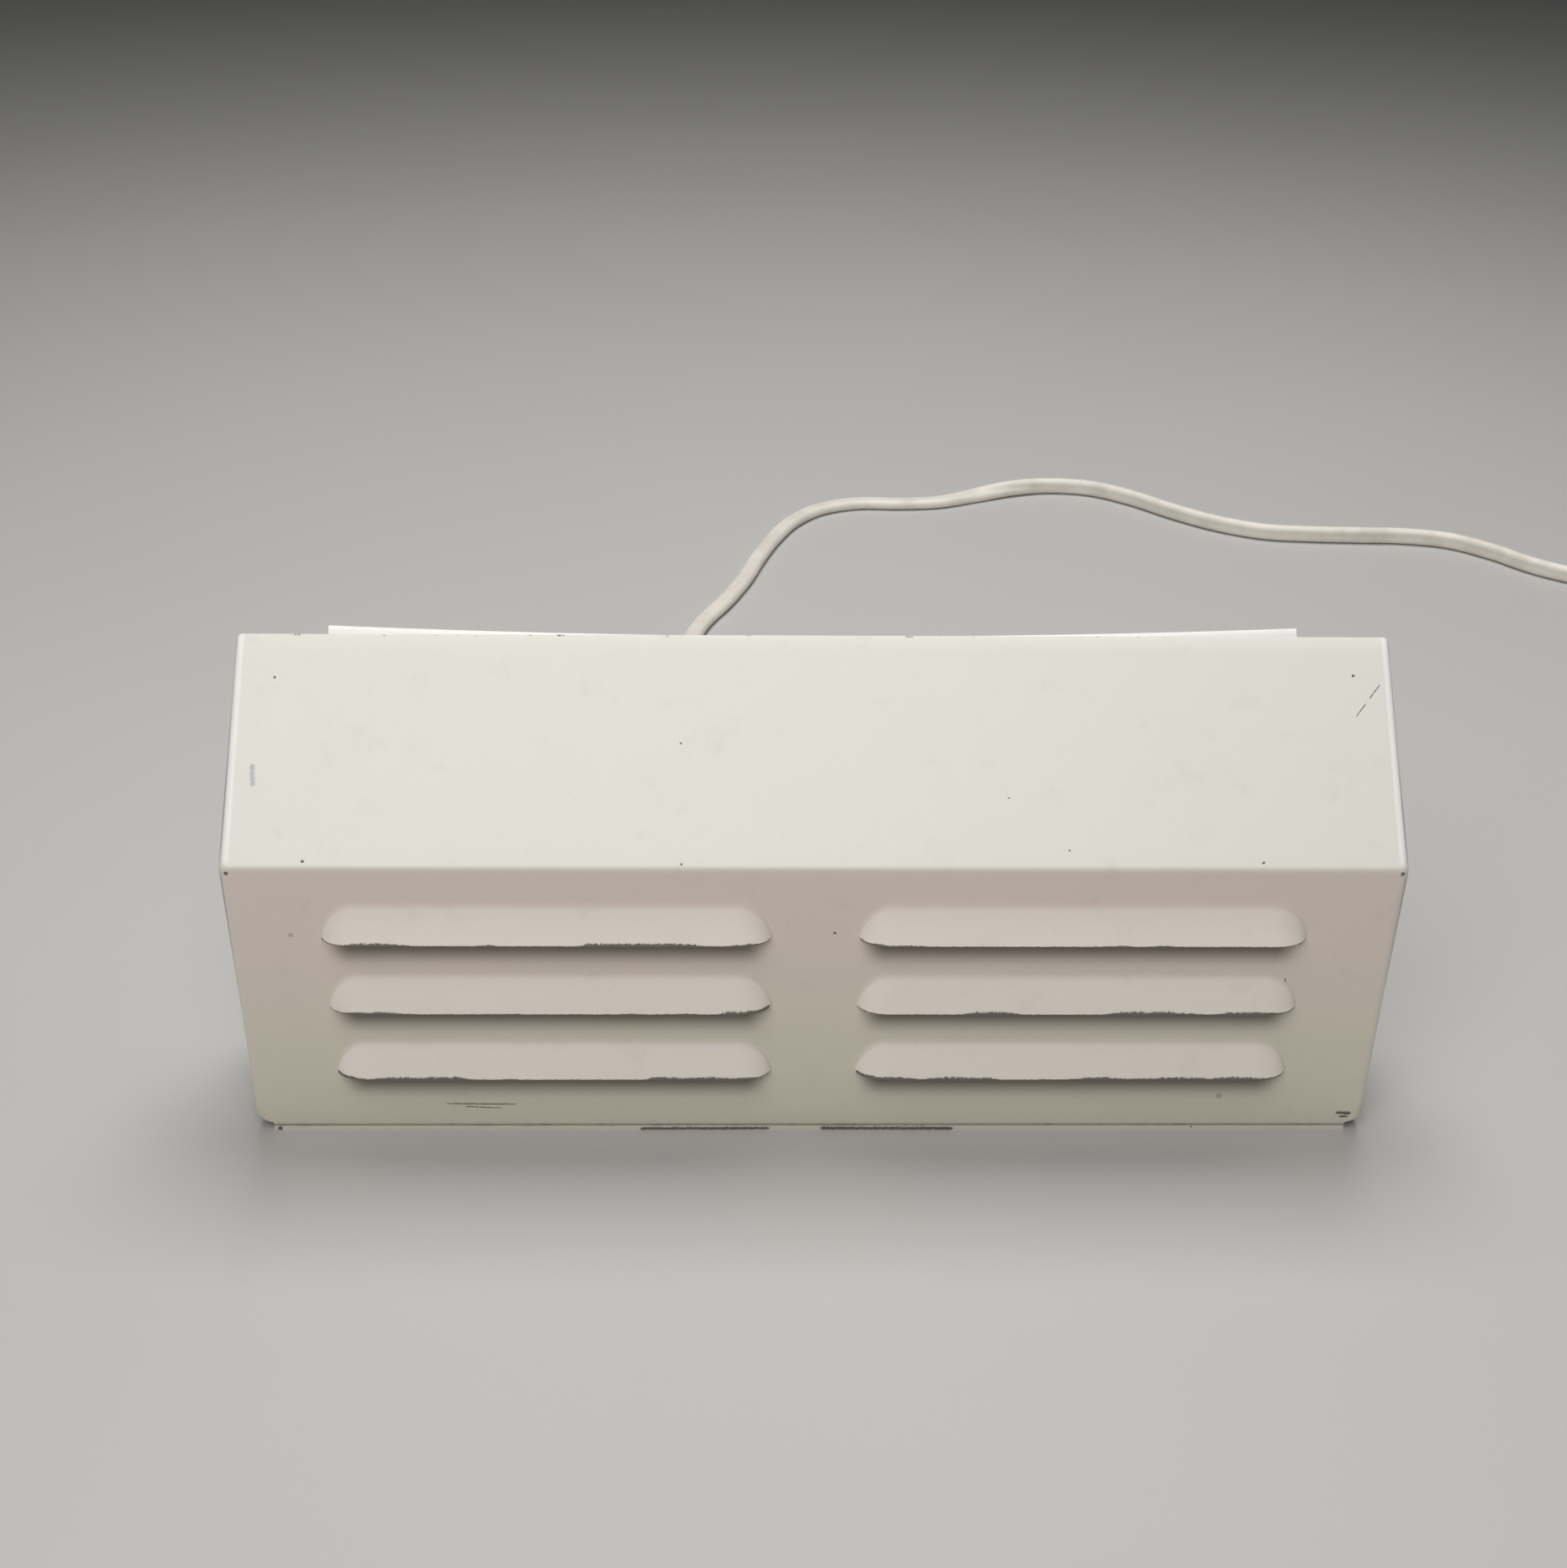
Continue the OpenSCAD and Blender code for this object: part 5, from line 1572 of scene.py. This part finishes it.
@dataclass
class BoardParts:
    """Small parts on the circuit board, in its own X along and Y up."""

    resistors: tuple[tuple[float, float, bool], ...] = (
        (107, 34, True), (111, 34, True), (115, 34, True), (107, 47, True), (111, 47, True),
        (115, 47, True), (107, 60, True), (111, 60, True), (125, 30.5, False),
        (125, 34.5, False), (138, 30.5, False), (138, 34.5, False), (151, 30.5, False),
        (151, 34.5, False), (164, 30.5, False), (164, 34.5, False), (86, 31.5, False),
        (86, 35.5, False), (18, 12, True), (26.5, 16, True), (26.5, 30, True))
    diodes: tuple[tuple[float, float, bool], ...] = (
        (54, 17, True), (54, 31, True), (122, 8, False), (134, 8, False), (29, 42, False))
    discs: tuple[tuple[float, float, float], ...] = (
        (19, 29, 6.5), (98, 33, 3.2), (103.5, 33, 3.2), (146, 8, 3.4), (153, 8, 3.4),
        (22, 55, 4.6), (30, 50, 3.6))
    cans: tuple[tuple[float, float, float, float], ...] = (
        (28, 62, 5.0, 11.0), (56, 64.5, 4.2, 7.0), (66, 66, 3.0, 6.5), (161, 8, 5.0, 9.0))

    resistor_half: float = 3.1
    diode_half: float = 2.4
    wire: float = 0.33
    wire_bend: float = 1.2
    body_sides: int = 14
    left: float = field(init=False)
    face: float = field(init=False)
    foot: float = field(init=False)

    def __post_init__(self) -> None:
        """Finds the board's corner and face from its node."""
        low, _ = node_box("circuit_board")
        self.left, self.face, self.foot = low[0], low[1], low[2]

    def world(self, local: Array) -> Array:
        """From board X, Y and height above it to the model's frame."""
        return np.stack([self.left + local[..., 0], self.face - local[..., 2],
                         self.foot + local[..., 1]], -1)

    def lying(self, x: float, y: float, upright: bool, rows: Array, height: float) -> Array:
        """A turned body lying on the board, along X or, when upright, along Y."""
        grid = turned(rows, (0.0, 0.0, 0.0), "x", self.body_sides)
        if upright:
            grid = grid[..., [1, 0, 2]]
        return self.world(grid + np.array([x, y, height]))

    def legs(self, shell: Shell, x: float, y: float, upright: bool, reach: float,
             height: float) -> None:
        """Two wire legs, out of the ends of a body and down into the board.

        Each is a circle carried along a quarter-round path.
        """
        for end in (-1, 1):
            a = np.linspace(0, np.pi / 2, 6)
            run = reach - self.wire_bend + self.wire_bend * np.sin(a)
            rise = height - self.wire_bend + self.wire_bend * np.cos(a)
            path = np.vstack([[reach - 2.6, height], np.stack([run, rise], 1), [reach, -0.2]])
            d = unit(np.gradient(path, axis=0))
            across = np.stack([-d[:, 1], d[:, 0]], 1)
            b = np.linspace(0, 2 * np.pi, 7)[:-1]
            along = end * (path[:, :1] + self.wire * across[:, :1] * np.cos(b))
            up = path[:, 1:] + self.wire * across[:, 1:] * np.cos(b)
            out = np.repeat(self.wire * np.sin(b)[None], len(path), 0)
            parts = (out, along, up) if upright else (along, out, up)
            shell.grid(self.world(np.stack(parts, -1) + np.array([x, y, 0.0])), close_u=True)

    def solder(self, shell: Shell, x: float, y: float, upright: bool, reach: float) -> None:
        """A small cone of solder at the foot of each leg: r = 0.9 (1 - h)^2 + 0.3."""
        h = np.linspace(0, 1, 5)
        rows = np.stack([np.concatenate([h * 0.8, [0.8]]),
                         np.concatenate([0.9 * (1 - h) ** 2 + 0.3, [0.0]])], 1)
        for end in (-1, 1):
            at = (0, end * reach, 0) if upright else (end * reach, 0, 0)
            grid = turned(rows, at, "z", 10)
            shell.grid(self.world(grid + np.array([x, y, 0.0])), close_u=True)

    def number_map(self, mesh: bpy.types.Mesh, rows: int) -> None:
        """Writes a map for equal turned bodies of so many rows: U along each, V its number."""
        layer = mesh.uv_layers.new(name="surface")
        corner = np.empty(len(mesh.loops), dtype=np.int32)
        mesh.loops.foreach_get("vertex_index", corner)
        each = rows * self.body_sides
        layer.data.foreach_set("uv", np.stack([
            (corner % each) // self.body_sides / (rows - 1), (corner // each) * 0.731], 1).ravel())

    def axial(self, metal: Shell, name: str, spots: Sequence[tuple[float, float, bool]],
              rows: Array, reach: float, height: float, finish: Banded) -> None:
        """Equal bodies with a leg out of each end, made as one piece.

        Args:
            metal: Where their legs and solder are added.
            name: The piece's name.
            spots: Each one's X, Y and whether it points along Y.
            rows: Their profile, as distance from the middle and radius.
            reach: From the middle to where a leg goes down.
            height: Of their middle line over the board.
            finish: Their finish.
        """
        body = Shell()
        for x, y, upright in spots:
            body.grid(self.lying(x, y, upright, rows, height), close_u=True)
            self.legs(metal, x, y, upright, reach, height)
            self.solder(metal, x, y, upright, reach)
        mesh = body.mesh(name, merge=0.0)
        self.number_map(mesh, len(rows))
        place(name, mesh, finish.build(), "chassis", 60)

    def resistor_rows(self) -> Array:
        """r = (1.05 + 0.24 exp(-((d - 0.8) / 0.6)^2)) sqrt(d / 0.45), d from the nearer end."""
        s = np.linspace(-self.resistor_half, self.resistor_half, 25)
        edge = self.resistor_half - np.abs(s)
        radius = (1.05 + 0.24 * np.exp(-(((edge - 0.8) / 0.6) ** 2))) * np.sqrt(
            np.clip(edge / 0.45, 0.0016, 1.0))
        return np.stack([s, radius], 1)

    def diode_rows(self) -> Array:
        """r = 1.2 sqrt(d / 0.3), at most 1.2, with d measured from the nearer end."""
        s = np.linspace(-self.diode_half, self.diode_half, 17)
        edge = self.diode_half - np.abs(s)
        return np.stack([s, 1.2 * np.clip(edge / 0.3, 0.002, 1.0) ** 0.5], 1)

    def standing(self, metal: Shell) -> None:
        """Disc capacitors, r^2 = cos b, standing on their edges, and small can capacitors."""
        disc = Shell()
        for x, y, r in self.discs:
            b = np.linspace(-np.pi / 2, np.pi / 2, 11)
            rows = np.stack([1.3 * np.sin(b), r * np.sqrt(np.clip(np.cos(b), 0.0004, 1))], 1)
            grid = turned(rows, (0, 0, 0), "y", 28)
            disc.grid(self.world(grid + np.array([x, y, r + 1.6])), close_u=True)
            for end in (-1, 1):
                leg = turned(np.array([(-0.2, 0.3), (2.6 + r * 0.2, 0.3)]), (end * r * 0.5, 0, 0),
                             "z", 6)
                metal.grid(self.world(leg + np.array([x, y, 0.0])), close_u=True)
            self.solder(metal, x, y, False, r * 0.5)
        place("disc_capacitors", disc.mesh("disc_capacitors"),
              Moulded("disc_lacquer", (0.52, 0.22, 0.05), Skin.GLOSS).build(), "chassis",
              60)
        can, top = Shell(), Shell()
        for x, y, d, h in self.cans:
            rows = rounded([(0, 0), (0, d / 2 - 0.5), (0.6, d / 2), (1.4, d / 2),
                            (1.8, d / 2 - 0.25), (2.2, d / 2), (h - 0.4, d / 2),
                            (h, d / 2 - 0.5), (h, d / 2 - 0.9)], 0.3)
            can.grid(self.world(turned(rows, (x, y, 0), "z", 28)), close_u=True)
            lid = rounded([(h - 0.3, d / 2 - 0.5), (h - 0.15, d / 2 - 1.0), (h - 0.15, 0.3),
                           (h - 0.25, 0.0)], 0.1)
            top.grid(self.world(turned(lid, (x, y, 0), "z", 28)), close_u=True)
        place("small_capacitors", can.mesh("small_capacitors"),
              Moulded("can_sleeve", (0.03, 0.03, 0.05), Skin.GLOSS).build(), "chassis")
        place("small_capacitor_tops", top.mesh("small_capacitor_tops"),
              Metal("can_aluminium", (0.76, 0.76, 0.76), 0.35).build(), "chassis")

    def build(self) -> None:
        """Builds the small parts with their legs and solder."""
        metal = Shell()
        self.axial(metal, "resistors", self.resistors, self.resistor_rows(), 5.0, 1.4,
                   Banded("resistor_lacquer", (0.50, 0.36, 0.20)))
        self.axial(metal, "diodes", self.diodes, self.diode_rows(), 4.6, 1.5,
                   Banded("diode_resin", (0.018, 0.018, 0.02), 1))
        self.standing(metal)
        place("legs_and_solder", metal.mesh("legs_and_solder"),
              Metal("solder", (0.66, 0.66, 0.64), 0.30).build(), "chassis", 60)


@dataclass
class CarriedOver:
    """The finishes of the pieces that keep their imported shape."""

    paint: Enamel = Enamel("chassis_enamel", srgb(230, 226, 218), srgb(224, 220, 208),
                           marks=(Mark((-144.0, -21.6, 0.6), 0.6),
                                  Mark((-46.0, -21.8, 0.5), 0.42, (-12.0, -21.8, 0.6)),
                                  Mark((3.0, -21.8, 0.6), 0.50, (38.0, -21.8, 0.5))))

    def plastics(self) -> dict[str, Moulded]:
        """The moulded finishes, each named after its slot: colour, skin and clearness."""
        looks: dict[str, tuple[Colour, Skin, float]] = {
            "nylon": ((0.72, 0.70, 0.62), Skin.SATIN, 0.2),
            "bobbin_nylon": ((0.76, 0.70, 0.52), Skin.SATIN, 0.1),
            "red_insulation": ((0.50, 0.02, 0.015), Skin.GLOSS, 0.0),
            "yellow_insulation": ((0.78, 0.52, 0.03), Skin.GLOSS, 0.0),
            "brown_insulation": ((0.12, 0.04, 0.015), Skin.GLOSS, 0.0),
            "blue_insulation": ((0.02, 0.08, 0.38), Skin.GLOSS, 0.0),
            "black_insulation": ((0.02, 0.02, 0.02), Skin.GLOSS, 0.0),
            "terminal_plastic": ((0.70, 0.70, 0.66), Skin.SATIN, 0.1),
            "relay_plastic": ((0.03, 0.035, 0.06), Skin.SATIN, 0.0),
            "capacitor_sleeve": ((0.02, 0.04, 0.20), Skin.GLOSS, 0.0),
            "black_resin": ((0.02, 0.02, 0.022), Skin.MATT, 0.0),
            "button_orange": ((0.72, 0.17, 0.015), Skin.SATIN, 0.0),
            "switch_red": ((0.42, 0.02, 0.015), Skin.SATIN, 0.0),
            "white_plastic": ((0.80, 0.80, 0.77), Skin.SATIN, 0.1),
            "trimmer_blue": ((0.015, 0.07, 0.32), Skin.SATIN, 0.0),
            "output_green": ((0.02, 0.20, 0.07), Skin.SATIN, 0.0),
        }
        return {slot: Moulded(slot, colour, skin, clear=clear)
                for slot, (colour, skin, clear) in looks.items()}

    def finishes(self) -> dict[str, object]:
        """Each material slot's finish."""
        chip_low, chip_high = node_box("controller_chip")
        chip_z = (chip_low[2] + chip_high[2]) / 2
        tab_back = node_box("voltage_regulator")[1][1]
        return {
            **self.plastics(),
            "chassis_paint": self.paint,
            "zinc_screw": Metal("zinc", (0.72, 0.72, 0.69), 0.34, tarnish=(0.40, 0.38, 0.30)),
            "board_green": Laminate("board_mask", (0.012, 0.085, 0.032), (0.035, 0.19, 0.07)),
            "lamination": Stack("laminations"),
            "primary_tape": Wound("primary_tape", (0.55, 0.30, 0.05), (0.30, 0.15, 0.03), 2.6),
            "secondary_wire": Wound("secondary_wire", (0.62, 0.22, 0.07), (0.10, 0.03, 0.01),
                                    1.15, metal=0.6, depth=0.30),
            "brass": Metal("brass", (0.78, 0.56, 0.22), 0.30, (1, 0.2, 1), (0.30, 0.18, 0.06)),
            "fuse_glass": ClearGlass("fuse_glass"),
            "nickel": Metal("nickel", (0.76, 0.74, 0.68), 0.22, (0.1, 1, 1)),
            "relay_wire": Wound("relay_wire", (0.60, 0.18, 0.05), (0.08, 0.02, 0.01), 0.45,
                                axis=1, metal=0.6, depth=0.12),
            "relay_steel": Metal("relay_steel", (0.52, 0.52, 0.52), 0.46, (1, 1, 0.15)),
            "chip": TwoParts("chip_resin", 2, chip_z, 3.21),
            "regulator": TwoParts("regulator_resin", 1, tab_back - 50.0, 48.72),
            "black_anodised": Metal("black_anodised", (0.05, 0.05, 0.055), 0.44, (0.2, 1, 1),
                                    (0.11, 0.10, 0.09)),
            "receiver_mask": Laminate("receiver_mask", (0.010, 0.045, 0.13),
                                      (0.03, 0.11, 0.26), 1.9),
            "tinned_can": Metal("tinned_can", (0.58, 0.58, 0.56), 0.42, (1, 1, 0.2)),
        }

    def build(self, replaced: set[str]) -> None:
        """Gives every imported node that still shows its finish.

        Args:
            replaced: Nodes that another piece stands for.
        """
        finishes = self.finishes()
        made: dict[str, bpy.types.Material] = {}
        special = {"controller_chip": "chip", "voltage_regulator": "regulator"}
        for part in frame["record"]["subparts"]:
            node = part["node"]
            if node in replaced:
                continue
            slot = special.get(node, part["material_slot"])
            if slot not in made:
                made[slot] = finishes[slot].build()
            mesh = frame["nodes"][node].data
            if not mesh.materials:
                mesh.materials.append(made[slot])
            for i in range(len(mesh.materials)):
                mesh.materials[i] = made[slot]
        log.info("finished %d materials on packed nodes", len(made))


# ---- studio -------------------------------------------------------------


@dataclass(frozen=True)
class Lamp:
    """A square soft light: its place and side in metres, its power in watts and its tint."""

    name: str
    at: Point
    side: float
    power: float
    tint: Colour


@dataclass
class Studio:
    """Camera, floor and soft lights."""

    eye: Point = (-16.0, -448.9, 353.4)
    pitch: float = 29.81
    roll: float = 0.62
    yaw: float = 1.00
    lens: float = 46.09
    aim: Point = (0.0, 0.05, 0.05)
    lamps: tuple[Lamp, ...] = (
        Lamp("key", (-0.20, -0.80, 1.12), 1.1, 11.2, (1.0, 0.985, 0.96)),
        Lamp("top", (0.05, 0.42, 1.25), 0.7, 11.0, (1.0, 0.99, 0.97)),
        Lamp("left", (-1.2, 0.1, 0.7), 0.8, 0.5, (0.96, 0.98, 1.0)),
        Lamp("right", (1.2, 0.1, 0.7), 0.8, 0.5, (0.96, 0.98, 1.0)))
    sky: Colour = (0.96, 0.98, 1.0)
    sky_strength: float = 0.03
    floor_half: float = 25.0
    floor_tones: tuple[Colour, Colour] = ((0.50, 0.495, 0.485), (0.53, 0.525, 0.515))

    def camera(self) -> None:
        """A camera that looks down at the front, with a slight turn and roll."""
        data = bpy.data.cameras.new("camera")
        data.sensor_fit = "HORIZONTAL"
        data.sensor_width = 36.0
        data.lens = self.lens
        pitch, yaw, roll = (math.radians(v) for v in (self.pitch, self.yaw, self.roll))
        ahead = Vector((math.sin(yaw) * math.cos(pitch), math.cos(yaw) * math.cos(pitch),
                        -math.sin(pitch)))
        level = Vector((math.cos(yaw), -math.sin(yaw), 0.0))
        up = level.cross(ahead)
        right = level * math.cos(roll) + up * math.sin(roll)
        top = up * math.cos(roll) - level * math.sin(roll)
        turn = Matrix((right, top, -ahead)).transposed().to_4x4()
        camera = bpy.data.objects.new("camera", data)
        camera.matrix_world = Matrix.Translation(Vector(self.eye) * MM) @ turn
        bpy.context.scene.collection.objects.link(camera)
        bpy.context.scene.camera = camera

    def light(self, lamp: Lamp) -> None:
        """Hangs one soft light and aims it at the housing."""
        data = bpy.data.lights.new(lamp.name, "AREA")
        data.size = lamp.side
        data.energy = lamp.power
        data.color = lamp.tint
        light = bpy.data.objects.new(lamp.name, data)
        light.visible_camera = False
        light.location = lamp.at
        ahead = Vector(self.aim) - Vector(lamp.at)
        light.rotation_euler = ahead.to_track_quat("-Z", "Y").to_euler()
        bpy.context.scene.collection.objects.link(light)

    def floor(self) -> None:
        """A wide pale floor under everything."""
        mesh = bpy.data.meshes.new("floor")
        r = self.floor_half
        mesh.from_pydata([(-r, -r, 0), (r, -r, 0), (r, r, 0), (-r, r, 0)], [], [(0, 1, 2, 3)])
        g = Graph("floor_paper")
        tone = g.noise(0.004, 2.0, 0.5)
        mesh.materials.append(g.done(g.mix(tone, *self.floor_tones), 0.8))
        floor = bpy.data.objects.new("floor", mesh)
        bpy.context.scene.collection.objects.link(floor)

    def build(self) -> None:
        """Sets up the whole studio."""
        self.camera()
        self.floor()
        for lamp in self.lamps:
            self.light(lamp)
        world = bpy.data.worlds.new("world")
        world.use_nodes = True
        back = world.node_tree.nodes["Background"]
        back.inputs["Color"].default_value = rgba(self.sky)
        back.inputs["Strength"].default_value = self.sky_strength
        bpy.context.scene.world = world
        bpy.context.scene.view_settings.view_transform = "Standard"


def main() -> None:
    """Builds every part of the model in order."""
    logging.basicConfig(level=logging.INFO, format="%(name)s: %(message)s")
    Studio().build()
    MainsCord().build()
    Cover().build()
    BoardParts().build()
    RearSheet().build()
    CarriedOver().build({"cover", "rear_panel", "mains_cord", "cord_coil", "strain_relief",
                         "coil_tie", "plug"})


if __name__ == "__main__":
    main()
